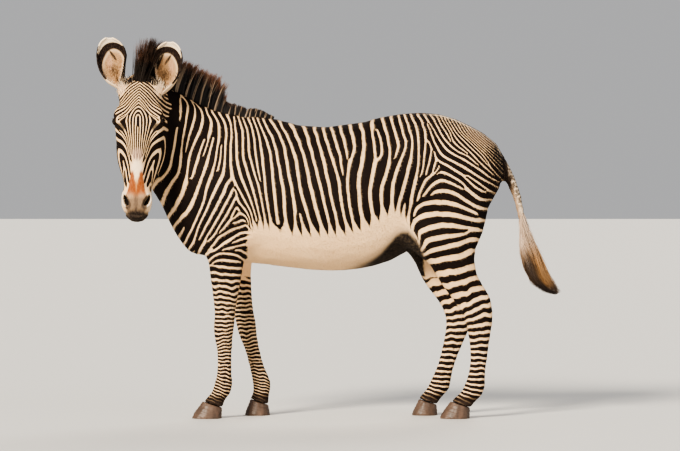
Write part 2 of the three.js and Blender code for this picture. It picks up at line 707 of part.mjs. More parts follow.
const zebra = new THREE.Group();
function place(name, geometry, finish) {
  const mesh = new THREE.Mesh(geometry, new THREE.MeshStandardMaterial(finish));
  mesh.name = name;
  zebra.add(mesh);
}

const headRegion = new THREE.Box3().setFromCenterAndSize(onHead(270, 0, -120), vec(480, 580, 760));
const muzzleRegion = new THREE.Box3().setFromCenterAndSize(onHead(630, 0, -90), vec(240, 290, 280));
const keepsBelow = (height) => side(vec(0, 0, height), vec(0, 0, -1));

let headSolid = parted(flesh, headRegion, 8, 1350, [throatCut, cheekCut, flipped(muzzleFromHead)]);
for (const hand of [-1, 1]) headSolid = headSolid.subtract(solidOf(eyeball(hand, EYE_RADIUS + EYE_SOCKET_GAP)));
place("head", geometryOf(headSolid), skin);
place("muzzle", geometryOf(parted(flesh, muzzleRegion, 6, 700, [muzzleFromHead])), skin);
place("eye_right", eyeball(-1, EYE_RADIUS), eyeGlaze);
place("eye_left", eyeball(1, EYE_RADIUS), eyeGlaze);
for (const [name, ear] of Object.entries(EARS)) place(name, geometryOf(earSolid(ear)), skin);
place("mane", geometryOf(maneSolid()), hair);

const TRUNK_CELL = 16;
const neckRegion = boxOf(-1120, -400, -340, 240, 820, 1760);
const chestRegion = boxOf(-900, -300, -300, 300, 660, 1560);
const barrelRegion = boxOf(-360, 380, -340, 340, 660, 1580);
const haunchRegion = boxOf(310, 900, -320, 320, 660, 1580);
const throat = trimmed(solidOf(meshed(flesh, neckRegion, TRUNK_CELL)), [neckFromChest]);
const neckPiece = [throatCut, cheekCut].map((cut) => trimmed(throat, [flipped(cut)])).reduce((a, b) => a.add(b));
const chestPlanes = [chestFromBarrel, flipped(neckFromChest), aboveLegs];
const haunchPlanes = [flipped(barrelFromHaunch), aboveLegs, flipped(tailFromHaunch)];
place("neck", geometryOf(reduced(largest(neckPiece), 640)), skin);
place("chest", geometryOf(parted(flesh, chestRegion, TRUNK_CELL, 760, chestPlanes)), skin);
place("barrel", geometryOf(parted(flesh, barrelRegion, TRUNK_CELL, 560, [flipped(chestFromBarrel), barrelFromHaunch, aboveLegs])), skin);
place("haunches", geometryOf(parted(flesh, haunchRegion, TRUNK_CELL, 800, haunchPlanes)), skin);
place("tail", geometryOf(parted(flesh, boxOf(780, 1000, -60, 60, 940, 1380), 7, 200, [tailFromHaunch, tuftFromTail])), skin);
place("tail_tuft", geometryOf(parted(tuft.distance, boxOf(880, 1150, -70, 70, 580, 1060), 9, 200, [flipped(tuftFromTail)])), hair);

for (const l of LEGS) {
  const xs = l.rows.map((r) => r[0]);
  const legRegion = (z0, z1) => {
    const [near, far] = l.hand === LEFT ? [-260, -20] : [20, 260];
    return boxOf(Math.min(...xs) - 260, Math.max(...xs) + 160, near, far, z0, z1);
  };
  const upper = parted(flesh, legRegion(l.joint - 30, LEG_CUT + 30), 11, 220, [keepsBelow(LEG_CUT), kneeOrHock(l)]);
  const lower = parted(flesh, legRegion(20, l.joint + 30), 8, 400, [flipped(kneeOrHock(l)), coronet(l)]);
  place(`leg_${l.name}_upper`, geometryOf(upper), skin);
  place(`leg_${l.name}_lower`, geometryOf(lower), skin);
  place(`hoof_${l.name}`, geometryOf(hoofOf(l)), horn);
}

// The frame's origin is on the ground under the middle of the whole animal's box.
const whole = new THREE.Box3().setFromObject(zebra, true);
zebra.position.set(-(whole.min.x + whole.max.x) / 2, -(whole.min.y + whole.max.y) / 2, -whole.min.z);

export default zebra;
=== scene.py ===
# A standing Grevy's zebra at life size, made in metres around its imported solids.
# The floor is z = 0, the animal's left side faces -Y and its tail points to +X.
import math

import bmesh
import bpy
import numpy as np
from mathutils import Matrix, Vector
from mathutils.bvhtree import BVHTree


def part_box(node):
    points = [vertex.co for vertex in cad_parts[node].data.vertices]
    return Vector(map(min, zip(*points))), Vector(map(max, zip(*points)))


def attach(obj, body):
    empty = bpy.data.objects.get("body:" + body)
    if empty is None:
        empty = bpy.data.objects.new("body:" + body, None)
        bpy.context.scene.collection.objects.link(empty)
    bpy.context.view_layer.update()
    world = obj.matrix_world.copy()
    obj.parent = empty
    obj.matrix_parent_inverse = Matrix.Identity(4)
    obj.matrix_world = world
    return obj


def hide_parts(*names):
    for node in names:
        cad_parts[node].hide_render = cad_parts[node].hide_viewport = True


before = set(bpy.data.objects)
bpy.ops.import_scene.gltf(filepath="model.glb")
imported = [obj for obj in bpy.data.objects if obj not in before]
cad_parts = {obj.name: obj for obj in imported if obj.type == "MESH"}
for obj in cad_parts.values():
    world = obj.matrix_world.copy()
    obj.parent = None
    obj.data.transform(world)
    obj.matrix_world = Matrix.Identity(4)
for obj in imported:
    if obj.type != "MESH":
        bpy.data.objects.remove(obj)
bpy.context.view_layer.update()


# ---- Hide ---------------------------------------------------------------------------------
# One unbroken skin runs from the nose over neck, trunk and legs to the tail dock.
# It is drawn over bone and muscle, so hollows and ridges show through it, and it ends at the
# hooves, the eyelids and the nostrils. It lies inside the solids by the depth of the coat.
LEG_NAMES = [f"leg_{end}_{side}" for end in ("fore", "hind") for side in ("left", "right")]
TRUNK = ["head", "muzzle", "neck", "chest", "barrel", "haunches", "tail"]
LEG_PARTS = [f"{leg}_{part}" for leg in LEG_NAMES for part in ("upper", "lower")]
HANDS = {"left": 1, "right": -1}
COAT_DEPTH = 0.0025
JOINT_OVERLAP = 0.0006
HIDE_GRAIN = 0.0122


def only(piece):
    """Selects one piece alone and makes it the active one."""
    bpy.ops.object.select_all(action="DESELECT")
    piece.select_set(True)
    bpy.context.view_layer.objects.active = piece


def applied(piece, kind, **settings):
    """Adds one modifier with its settings and applies it."""
    only(piece)
    modifier = piece.modifiers.new(kind.lower(), kind)
    for name, value in settings.items():
        setattr(modifier, name, value)
    bpy.ops.object.modifier_apply(modifier=modifier.name)


def merged_copy(node, name):
    """A copy of one solid with its loose triangles merged into a closed body."""
    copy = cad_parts[node].copy()
    copy.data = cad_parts[node].data.copy()
    copy.name = name
    copy.data.materials.clear()
    bpy.context.scene.collection.objects.link(copy)
    only(copy)
    bpy.ops.object.mode_set(mode="EDIT")
    bpy.ops.mesh.select_all(action="SELECT")
    bpy.ops.mesh.remove_doubles(threshold=0.00001)
    bpy.ops.object.mode_set(mode="OBJECT")
    return copy


def grown_union(nodes, name):
    """Joins solids that meet face to face into one body, each first grown past its joints."""
    body = merged_copy(nodes[0], name)
    applied(body, "DISPLACE", strength=JOINT_OVERLAP, mid_level=0)
    for node in nodes[1:]:
        other = merged_copy(node, "joining")
        applied(other, "DISPLACE", strength=JOINT_OVERLAP, mid_level=0)
        applied(body, "BOOLEAN", operation="UNION", solver="MANIFOLD", object=other)
        bpy.data.objects.remove(other)
    return body


def read_all(items, name, width=1, kind=float):
    """One named value of every item of a mesh; a row for each where the value has several parts."""
    flat = np.empty(len(items) * width, dtype=kind)
    items.foreach_get(name, flat)
    return flat.reshape(-1, width) if width > 1 else flat


def points_of(piece):
    return read_all(piece.data.vertices, "co", 3)


def put_points(piece, points):
    piece.data.vertices.foreach_set("co", points.ravel())
    piece.data.update()


def normals_of(piece):
    return read_all(piece.data.vertices, "normal", 3)


SMOOTHING, SPRING_BACK = 0.6, -0.62


def relaxed(piece, rounds, weight=1.0):
    """Smooths a surface and lets it spring back each time, so that it doesn't shrink."""
    points = points_of(piece)
    edges = read_all(piece.data.edges, "vertices", 2, np.int64)
    weight = np.broadcast_to(np.asarray(weight, dtype=float), len(points))
    ends = np.concatenate([edges[:, 0], edges[:, 1]])
    others = np.concatenate([edges[:, 1], edges[:, 0]])
    neighbours = np.maximum(np.bincount(ends, minlength=len(points)), 1)
    for step in range(rounds * 2):
        share = SMOOTHING if step % 2 == 0 else SPRING_BACK
        for axis in range(3):
            total = np.bincount(ends, weights=points[others, axis], minlength=len(points))
            points[:, axis] += weight * share * (total / neighbours - points[:, axis])
    put_points(piece, points)


def largest_shell(piece):
    """Keeps the biggest connected shell of a mesh."""
    mesh = bmesh.new()
    mesh.from_mesh(piece.data)
    unseen = set(mesh.verts)
    best = []
    while unseen:
        front = [unseen.pop()]
        shell = []
        while front:
            point = front.pop()
            shell.append(point)
            for edge in point.link_edges:
                other = edge.other_vert(point)
                if other in unseen:
                    unseen.remove(other)
                    front.append(other)
        if len(shell) > len(best):
            best = shell
    keep = set(best)
    bmesh.ops.delete(mesh, geom=[v for v in mesh.verts if v not in keep], context="VERTS")
    mesh.to_mesh(piece.data)
    mesh.free()


def ramp(values, low, high):
    """0 below low, 1 above high, and a smooth rise between."""
    t = np.clip((values - low) / (high - low), 0, 1)
    return t * t * (3 - 2 * t)


def ridge(values, middle, half):
    """1 at the middle value, falling softly away on both sides."""
    return np.exp(-((values - middle) / half) ** 2)


def soft_spot(first, first_middle, first_half, second, second_middle, second_half):
    """A soft round spot on two measures, 1 in its middle."""
    return np.exp(-((first - first_middle) / first_half) ** 2 - ((second - second_middle) / second_half) ** 2)


def refined(piece, chosen):
    """Splits the faces whose middle is chosen into quarters."""
    middles = read_all(piece.data.polygons, "center", 3)
    only(piece)
    bpy.ops.object.mode_set(mode="EDIT")
    bpy.ops.mesh.select_mode(type="FACE")
    bpy.ops.mesh.select_all(action="DESELECT")
    bpy.ops.object.mode_set(mode="OBJECT")
    piece.data.polygons.foreach_set("select", chosen(middles))
    bpy.ops.object.mode_set(mode="EDIT")
    bpy.ops.mesh.subdivide(number_cuts=1)
    bpy.ops.object.mode_set(mode="OBJECT")


# The head is worked in its own directions: down from the poll, to its left, forth from the brow.
POLL = np.array([-0.9295, -0.2463, 1.684])
HEAD_DOWN = np.array([-0.0217, -0.2068, -0.9781])
HEAD_LEFT = np.array([0.9945, -0.1045, 0.0])
HEAD_FORTH = np.array([-0.1022, -0.9728, 0.2079])
HEAD_CORE = 0.11


def head_places(points):
    """Distance down from the poll, to the head's left, and forth from the brow."""
    from_poll = points - POLL
    return from_poll @ HEAD_DOWN, from_poll @ HEAD_LEFT, from_poll @ HEAD_FORTH


def near_head(points):
    """True where a point belongs to the head rather than to the neck behind it."""
    down, left, forth = head_places(points)
    return (down > -0.06) & (np.abs(left) < 0.14) & (forth > -0.20 - 0.06 * (down > 0.1))


def near_face(points):
    """True on the brow and cheeks, where the skin needs finer faces for the lids and the bars."""
    down, left, forth = head_places(points)
    across = HEAD_CORE * np.arctan2(np.abs(left), forth + HEAD_CORE)
    return near_head(points) & (across < 0.135) & (down < 0.37)


# Round each eye and nostril: down from the poll, to either side, forth, and how far out from there.
AROUND_EYE = (0.202, 0.105, -0.05, 0.036)
AROUND_LIDS = (0.202, 0.112, -0.045, 0.026)
AROUND_NOSTRIL = (0.60, 0.055, -0.03, 0.042)


def near_spot(points, down_at, left_at, forth_at, reach):
    """True within reach of a place on either side of the head."""
    down, left, forth = head_places(points)
    return (down - down_at) ** 2 + (np.abs(left) - left_at) ** 2 + (forth - forth_at) ** 2 < reach ** 2


def box_middle(node):
    return sum(np.array(corner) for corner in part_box(node)) / 2


hide = grown_union(TRUNK + LEG_PARTS, "hide")
EYE_RADIUS = 0.022
LID_THICKNESS = 0.0035
for side in HANDS:
    bpy.ops.mesh.primitive_ico_sphere_add(subdivisions=4, radius=EYE_RADIUS + LID_THICKNESS,
                                          location=box_middle(f"eye_{side}"))
    plug = bpy.context.object
    applied(hide, "BOOLEAN", operation="UNION", solver="MANIFOLD", object=plug)
    bpy.data.objects.remove(plug)
applied(hide, "REMESH", mode="VOXEL", voxel_size=HIDE_GRAIN)
largest_shell(hide)
relaxed(hide, 3)
refined(hide, lambda places: near_head(places) | (places[:, 2] < 0.30))
points = points_of(hide)
behind_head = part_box("head")[1][0]
on_trunk = ramp(points[:, 2], 0.80, 1.0) * ramp(points[:, 0], behind_head - 0.05, behind_head + 0.15)
relaxed(hide, 5)
relaxed(hide, 14, 0.1 + 0.9 * on_trunk)
put_points(hide, points_of(hide) - normals_of(hide) * (COAT_DEPTH + JOINT_OVERLAP))
down, left, forth = head_places(points_of(hide))
relaxed(hide, 5, near_head(points_of(hide)) * ramp(down, 0.60, 0.63) * ramp(np.abs(left), 0.015, 0.035))
refined(hide, near_face)
relaxed(hide, 2, near_face(points_of(hide)).astype(float))
refined(hide, lambda places: near_spot(places, *AROUND_EYE) | near_spot(places, *AROUND_NOSTRIL))
refined(hide, lambda places: near_spot(places, *AROUND_LIDS))


def eye_frame(side):
    """An eyeball's middle, its outward direction, the slit's direction and the lids' direction."""
    middle, sign = box_middle(f"eye_{side}"), HANDS[side]
    outward = sign * 0.84 * HEAD_LEFT + 0.54 * HEAD_FORTH
    outward /= np.linalg.norm(outward)
    slit = 0.62 * HEAD_DOWN + 0.55 * HEAD_FORTH - sign * 0.3 * HEAD_LEFT
    slit -= outward * (slit @ outward)
    slit /= np.linalg.norm(slit)
    lids = np.cross(slit, outward)
    lids *= -np.sign(lids @ HEAD_DOWN)
    return middle, outward, slit, lids


LID_RADIUS = 0.0250
SLIT_HALF = 0.0185
OPEN_HALF = 0.0108


def lid_edge(along):
    """Half the height of the opening between the lids, at each place along the slit."""
    return OPEN_HALF * (1 - 0.45 * (along / SLIT_HALF) ** 2)


def eyelids(points):
    """Draws the skin over each eyeball as two lids with an almond opening between them."""
    for side in HANDS:
        middle, outward, slit, lids = eye_frame(side)
        apart = points - middle
        high = apart @ outward
        along, across = apart @ slit, apart @ lids
        reach = np.hypot(along, across)
        near = (reach < 0.06) & (high > -0.02)
        dome = np.sqrt(np.maximum(LID_RADIUS ** 2 - np.minimum(reach, LID_RADIUS) ** 2, 0))
        lift = np.maximum(dome - high, 0) * (1 - ramp(reach, 0.0190, 0.0260)) * near
        points = points + lift[:, None] * outward
        gap = np.sqrt((along / SLIT_HALF) ** 2 + (across / lid_edge(along)) ** 2)
        gap = np.where(near & (np.abs(along) < 1.25 * SLIT_HALF), gap, 9)
        on_rim = (gap > 0.80) & (gap < 1.2)
        pull = np.where(on_rim, 1 / np.maximum(gap, 0.01) - 1, 0)
        points = points + pull[:, None] * (along[:, None] * slit + across[:, None] * lids)
        points = points - np.where(gap <= 0.80, 0.013, 0)[:, None] * outward
        brow = soft_spot(across, 0.024, 0.007, along, 0, 0.026) * near
        fold = soft_spot(across, 0.0165, 0.0025, along, 0, 0.02) * near
        under = soft_spot(across, -0.019, 0.003, along, 0, 0.018) * near
        points = points + (0.006 * brow - 0.0018 * fold - 0.0018 * under)[:, None] * outward
    return points


NOSTRIL_DOWN = 0.598
NOSTRIL_LEFT = 0.053


def nostril_reach(down, left, sign):
    """How far out a place is from a nostril's middle, 1 on its rim. It leans in at its lower end."""
    below = down - NOSTRIL_DOWN
    aside = sign * left - NOSTRIL_LEFT + 0.34 * below
    return np.sqrt((below / 0.029) ** 2 + (aside / (0.0125 + 0.12 * np.clip(below, -0.03, 0.02))) ** 2)


def nostrils(points):
    """Opens a comma-shaped nostril on each side, with a raised soft rim."""
    down, left, forth = head_places(points)
    for sign in (-1, 1):
        ring = nostril_reach(down, left, sign)
        front = (sign * left > 0.008) & (forth > -0.085)
        inward = -(0.78 * HEAD_FORTH + 0.45 * sign * HEAD_LEFT)
        outer = sign * left > NOSTRIL_LEFT - 0.34 * (down - NOSTRIL_DOWN)
        rim = 0.0030 + 0.0028 * outer
        depth = 0.024 * (1 - ramp(ring, 0.55, 1.06)) - rim * ridge(ring, 1.36, 0.25)
        points = points + (depth * front)[:, None] * inward
    crease = ridge(left, 0, 0.0045) * ramp(down, 0.60, 0.63) * (forth > -0.05)
    hollow = soft_spot(down, 0.555, 0.045, left, 0, 0.03) * (forth > -0.06)
    return points - HEAD_FORTH * (0.0022 * crease + 0.004 * hollow)[:, None]


def mouth(points, normal_rows):
    """Parts the lips with a groove back and up each side of the muzzle, and hollows the face's sides."""
    down, left, forth = head_places(points)
    back = np.clip(-forth - 0.035, 0, 0.11)
    line = 0.677 - 0.42 * back + 6.0 * np.clip(np.abs(left) - 0.03, 0, 1) ** 2 * (back < 0.01)
    groove = ridge(down, line, 0.0042) * (forth < -0.012) * (1 - ramp(-forth, 0.13, 0.15))
    lip = ridge(down - line, 0.014, 0.008) * (forth < -0.012) * (1 - ramp(-forth, 0.11, 0.14))
    rows = normal_rows * (near_head(points) & (down > 0.55))[:, None]
    jowl = soft_spot(np.abs(left), 0.062, 0.010, down, 0.30, 0.10) * (forth > -0.10)
    bridge = ridge(np.abs(left), 0.048, 0.012) * ramp(down, 0.33, 0.42) * (1 - ramp(down, 0.52, 0.57))
    face_rows = normal_rows * near_head(points)[:, None] * (forth > -0.12)[:, None]
    points = points - face_rows * (0.0030 * jowl + 0.0045 * bridge)[:, None]
    return points + rows * (0.0022 * lip - 0.0050 * groove)[:, None]


# Hollows between the muscles, as lines on the side plan (x, z): width and depth of each.
HOLLOWS = [
    ([(-0.33, 1.41), (-0.365, 1.235), (-0.405, 1.06), (-0.44, 0.91)], 0.032, 0.0075),
    ([(-0.665, 1.47), (-0.715, 1.285), (-0.735, 1.085), (-0.715, 0.93)], 0.034, 0.0065),
    ([(-0.50, 1.40), (-0.55, 1.22), (-0.60, 1.06)], 0.022, 0.0045),
    ([(-0.46, 0.93), (-0.56, 0.85), (-0.62, 0.80)], 0.020, 0.0070),
    ([(0.385, 1.16), (0.43, 1.03), (0.47, 0.92), (0.52, 0.82)], 0.026, 0.0085),
    ([(0.32, 1.40), (0.35, 1.36)], 0.060, 0.0090),
    ([(0.655, 1.33), (0.695, 1.14), (0.70, 0.95), (0.675, 0.80)], 0.026, 0.0060),
    ([(0.50, 1.24), (0.56, 1.10), (0.57, 0.98)], 0.030, 0.0040),
    ([(-0.85, 1.16), (-0.77, 0.99), (-0.69, 0.87)], 0.020, 0.0060),
    ([(-0.80, 1.50), (-0.74, 1.38), (-0.66, 1.30)], 0.026, 0.0040),
]
HOLLOWS += [([(start, 1.30), (start + 0.015, 1.15), (start + 0.05, 1.00)], 0.011, 0.0016)
            for start in np.arange(-0.26, 0.22, 0.052)]


def line_gap(x, z, line):
    """The distance on the side plan from each place to a line of straight steps."""
    nearest = np.full(len(x), np.inf)
    for (x0, z0), (x1, z1) in zip(line[:-1], line[1:]):
        run, rise = x1 - x0, z1 - z0
        step = np.clip(((x - x0) * run + (z - z0) * rise) / (run ** 2 + rise ** 2), 0, 1)
        nearest = np.minimum(nearest, np.hypot(x - x0 - step * run, z - z0 - step * rise))
    return nearest


def muscled(points, rows):
    """Presses in the hollows between the muscles, and the tendons down each leg."""
    x, z = points[:, 0], points[:, 2]
    facing = ramp(np.abs(rows[:, 1]), 0.25, 0.65) * ~near_head(points)
    press = sum(deep * ridge(line_gap(x, z, line), 0, wide) for line, wide, deep in HOLLOWS)
    for leg in LEG_NAMES:
        (low_x, low_y, _), (high_x, high_y, _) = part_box(f"{leg}_lower")
        here = (x > low_x - 0.02) & (x < high_x + 0.02) & (z > 0.09) & (z < 0.68)
        here &= (points[:, 1] > low_y - 0.015) & (points[:, 1] < high_y + 0.015)
        levels = np.arange(0.09, 0.69, 0.02)
        fronts, backs = [], []
        for level in levels:
            ring = x[here & (np.abs(z - level) < 0.014)]
            fronts.append(ring.min() if len(ring) else low_x)
            backs.append(ring.max() if len(ring) else high_x)
        front, back = np.interp(z, levels, fronts), np.interp(z, levels, backs)
        share = (x - front) / (back - front)
        tendon = ridge(share, 0.64, 0.09) * ramp(z, 0.13, 0.17) * (1 - ramp(z, 0.33, 0.40))
        hock = ridge(share, 0.72, 0.12) * ridge(z, 0.60, 0.06) * ("hind" in leg)
        press = press + here * (0.0036 * tendon + 0.006 * hock)
    return points - rows * (press * facing)[:, None]


points = nostrils(eyelids(points_of(hide)))
put_points(hide, points)
normal_rows = normals_of(hide)
put_points(hide, muscled(mouth(points, normal_rows), normal_rows))
only(hide)
bpy.ops.object.shade_smooth()
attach(hide, "root")
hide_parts(*TRUNK, *LEG_PARTS)


# ---- Markings -----------------------------------------------------------------------------
# Black-brown and cream bars grow in the coat itself. They stand upright on the flank, meet the
# slanting bars of the rump and the arches of the thigh at the hip, fork here and there, and
# become rings on the legs.
def bar_lines(*rows):
    """Rows of numbers, two to a place, as lines of places."""
    return [list(zip(row[::2], row[1::2])) for row in rows]


# Each row is the middle line of one cream bar on the body's side: distance along the body and
# height in turn. The far side mirrors it.
NECK_BARS = bar_lines(
    [-0.775, 1.6, -0.785, 1.545, -0.79, 1.49],
    [-0.735, 1.59, -0.73, 1.54, -0.735, 1.49, -0.75, 1.44, -0.765, 1.335, -0.785, 1.25],
    [-0.72, 1.595, -0.7, 1.56, -0.705, 1.48, -0.72, 1.39, -0.73, 1.31, -0.74, 1.23, -0.76, 1.195,
     -0.8, 1.14],
    [-0.69, 1.59, -0.665, 1.55, -0.663, 1.5, -0.68, 1.44, -0.7, 1.36, -0.705, 1.335],
    [-0.66, 1.565, -0.63, 1.53, -0.623, 1.49, -0.637, 1.43, -0.665, 1.365, -0.69, 1.295, -0.7, 1.21,
     -0.715, 1.145, -0.745, 1.075, -0.785, 1.015],
    [-0.615, 1.555, -0.6, 1.515, -0.583, 1.48, -0.585, 1.43, -0.603, 1.36, -0.615, 1.315],
    [-0.613, 1.39, -0.632, 1.335, -0.652, 1.27, -0.673, 1.205],
    [-0.58, 1.525, -0.555, 1.487, -0.542, 1.44, -0.545, 1.365, -0.557, 1.29, -0.577, 1.215, -0.6, 1.145,
     -0.623, 1.06, -0.645, 1.01, -0.665, 0.96, -0.7, 0.9],
    [-0.569, 1.4, -0.586, 1.335, -0.606, 1.25, -0.63, 1.185, -0.66, 1.105, -0.69, 1.04, -0.745, 0.98],
    [-0.53, 1.35, -0.535, 1.29, -0.547, 1.235],
    [-0.545, 1.52, -0.52, 1.48, -0.508, 1.43, -0.51, 1.36, -0.514, 1.26, -0.53, 1.195, -0.56, 1.135,
     -0.593, 1.06, -0.626, 0.99, -0.645, 0.95, -0.655, 0.91],
)
SHOULDER_BARS = bar_lines(
    [-0.508, 1.52, -0.485, 1.465, -0.48, 1.42, -0.483, 1.33, -0.475, 1.22, -0.455, 1.165, -0.42, 1.1,
     -0.383, 1.03, -0.366, 0.955],
    [-0.47, 1.5, -0.458, 1.41, -0.453, 1.31, -0.44, 1.235, -0.41, 1.155, -0.38, 1.08, -0.356, 1.0],
    [-0.458, 1.52, -0.425, 1.425, -0.42, 1.3, -0.4, 1.23, -0.367, 1.12, -0.347, 1.04, -0.33, 0.965],
    [-0.43, 1.5, -0.4, 1.42, -0.393, 1.34, -0.38, 1.275, -0.345, 1.16, -0.328, 1.08, -0.307, 0.96],
    [-0.385, 1.465, -0.369, 1.4, -0.362, 1.34, -0.352, 1.27, -0.335, 1.185],
    [-0.512, 1.14, -0.5, 1.17, -0.482, 1.19],
    [-0.504, 1.075, -0.478, 1.125, -0.465, 1.144, -0.452, 1.125],
    [-0.491, 1.035, -0.465, 1.085, -0.452, 1.104, -0.442, 1.081, -0.41, 1.04, -0.394, 1.01, -0.379, 0.955],
    [-0.478, 1.005, -0.452, 1.052, -0.442, 1.042],
    [-0.462, 1.002, -0.448, 1.016, -0.432, 1.022, -0.416, 1.016, -0.402, 1.0, -0.393, 0.973],
    [-0.465, 0.973, -0.422, 0.988, -0.406, 0.98],
    [-0.455, 0.95, -0.429, 0.956, -0.406, 0.966, -0.393, 0.95],
    [-0.43, 0.927, -0.396, 0.927],
    [-0.512, 1.127, -0.544, 1.068, -0.573, 1.016, -0.61, 0.95, -0.628, 0.915],
    [-0.512, 1.058, -0.544, 1.0, -0.58, 0.94, -0.605, 0.9, -0.613, 0.88],
    [-0.495, 1.022, -0.527, 0.973, -0.56, 0.92, -0.593, 0.885],
    [-0.478, 0.993, -0.514, 0.95, -0.534, 0.93],
    [-0.465, 0.947, -0.517, 0.917, -0.545, 0.9, -0.567, 0.865],
    [-0.435, 0.924, -0.49, 0.888, -0.54, 0.855, -0.565, 0.835],
    [-0.4, 0.904, -0.43, 0.894, -0.468, 0.878],
    [-0.41, 0.868, -0.455, 0.858, -0.517, 0.841],
    [-0.462, 0.838, -0.442, 0.841, -0.422, 0.832],
    [-0.593, 0.782, -0.577, 0.802, -0.54, 0.823, -0.494, 0.823, -0.455, 0.814, -0.429, 0.795],
    [-0.575, 0.775, -0.545, 0.788, -0.49, 0.79, -0.445, 0.782],
)
FLANK_BARS = bar_lines(
    [-0.37, 1.485, -0.358, 1.45, -0.343, 1.4, -0.322, 1.27, -0.313, 1.185, -0.305, 1.1, -0.28, 0.96],
    [-0.345, 1.47, -0.31, 1.395, -0.29, 1.33, -0.278, 1.26, -0.262, 1.1, -0.25, 1.0],
    [-0.315, 1.465, -0.28, 1.4, -0.26, 1.34, -0.235, 1.21, -0.218, 1.1, -0.21, 0.98, -0.205, 0.93],
    [-0.27, 1.46, -0.235, 1.395, -0.215, 1.335, -0.19, 1.2, -0.167, 1.075, -0.163, 0.98, -0.15, 0.915],
    [-0.23, 1.45, -0.2, 1.395, -0.16, 1.285, -0.133, 1.13, -0.09, 0.985, -0.065, 0.915],
    [-0.137, 1.01, -0.12, 0.955, -0.107, 0.912],
    [-0.178, 1.45, -0.145, 1.38, -0.115, 1.29, -0.095, 1.19, -0.06, 1.045, -0.02, 0.915],
    [-0.12, 1.445, -0.085, 1.34, -0.045, 1.19, -0.01, 1.04, 0.02, 0.915],
    [-0.068, 1.443, -0.03, 1.31, -0.003, 1.195, 0.025, 1.065, 0.06, 0.915],
    [-0.027, 1.445, 0.014, 1.315, 0.05, 1.195, 0.073, 1.04, 0.11, 0.915],
    [0.014, 1.445, 0.055, 1.325, 0.066, 1.26, 0.074, 1.215],
    [0.06, 1.448, 0.085, 1.355, 0.096, 1.3],
    [0.107, 1.453, 0.129, 1.38, 0.128, 1.34, 0.1, 1.23, 0.1, 1.1, 0.125, 0.97, 0.148, 0.915],
    [0.16, 1.462, 0.176, 1.395, 0.175, 1.32, 0.155, 1.21, 0.157, 1.085, 0.184, 0.94],
    [0.22, 1.473, 0.222, 1.4, 0.236, 1.287, 0.21, 1.17, 0.207, 1.1, 0.23, 0.965],
    [0.247, 1.43, 0.265, 1.36, 0.26, 1.31, 0.238, 1.287],
    [0.272, 1.478, 0.3, 1.375, 0.305, 1.29, 0.275, 1.18, 0.263, 1.1, 0.272, 1.02],
    [0.315, 1.487, 0.329, 1.433, 0.347, 1.36, 0.332, 1.295],
    [0.355, 1.495, 0.372, 1.42, 0.384, 1.355, 0.345, 1.25, 0.32, 1.165, 0.315, 1.03],
    [0.382, 1.502, 0.403, 1.438, 0.416, 1.365, 0.395, 1.23, 0.375, 1.15, 0.352, 1.085, 0.343, 1.03],
    [0.41, 1.512, 0.436, 1.448, 0.449, 1.37, 0.444, 1.25, 0.428, 1.175, 0.403, 1.03, 0.398, 0.97],
    [0.377, 1.055, 0.373, 1.0, 0.398, 0.953, 0.44, 0.9],
    [0.44, 1.518, 0.466, 1.477, 0.483, 1.39, 0.477, 1.325, 0.47, 1.25, 0.459, 1.21],
    [0.496, 1.378, 0.51, 1.34, 0.505, 1.295, 0.485, 1.222],
)
RUMP_BARS = bar_lines(
    [0.473, 1.518, 0.5, 1.475, 0.543, 1.403, 0.578, 1.349, 0.63, 1.311, 0.733, 1.252, 0.79, 1.208,
     0.81, 1.195],
    [0.493, 1.467, 0.512, 1.415, 0.533, 1.361, 0.567, 1.309, 0.654, 1.26, 0.74, 1.208, 0.79, 1.178,
     0.815, 1.167],
    [0.506, 1.517, 0.53, 1.477, 0.567, 1.405, 0.602, 1.361, 0.646, 1.326, 0.69, 1.306, 0.738, 1.267],
    [0.543, 1.5, 0.565, 1.452, 0.592, 1.41, 0.605, 1.385],
    [0.562, 1.497, 0.602, 1.425, 0.622, 1.375, 0.674, 1.331, 0.69, 1.32],
    [0.585, 1.482, 0.617, 1.423, 0.652, 1.372, 0.708, 1.321, 0.755, 1.27, 0.822, 1.212],
    [0.605, 1.475, 0.637, 1.42, 0.681, 1.373, 0.74, 1.316, 0.79, 1.264, 0.84, 1.215],
    [0.625, 1.465, 0.659, 1.415, 0.7, 1.376, 0.76, 1.316, 0.8, 1.265],
    [0.645, 1.462, 0.668, 1.42, 0.711, 1.38, 0.775, 1.319, 0.845, 1.242],
    [0.666, 1.447, 0.69, 1.412, 0.745, 1.361, 0.8, 1.31, 0.86, 1.25],
    [0.688, 1.209, 0.74, 1.176, 0.785, 1.143, 0.805, 1.131],
    [0.522, 1.331, 0.54, 1.289, 0.587, 1.26, 0.646, 1.226, 0.683, 1.195, 0.723, 1.156, 0.775, 1.129],
)
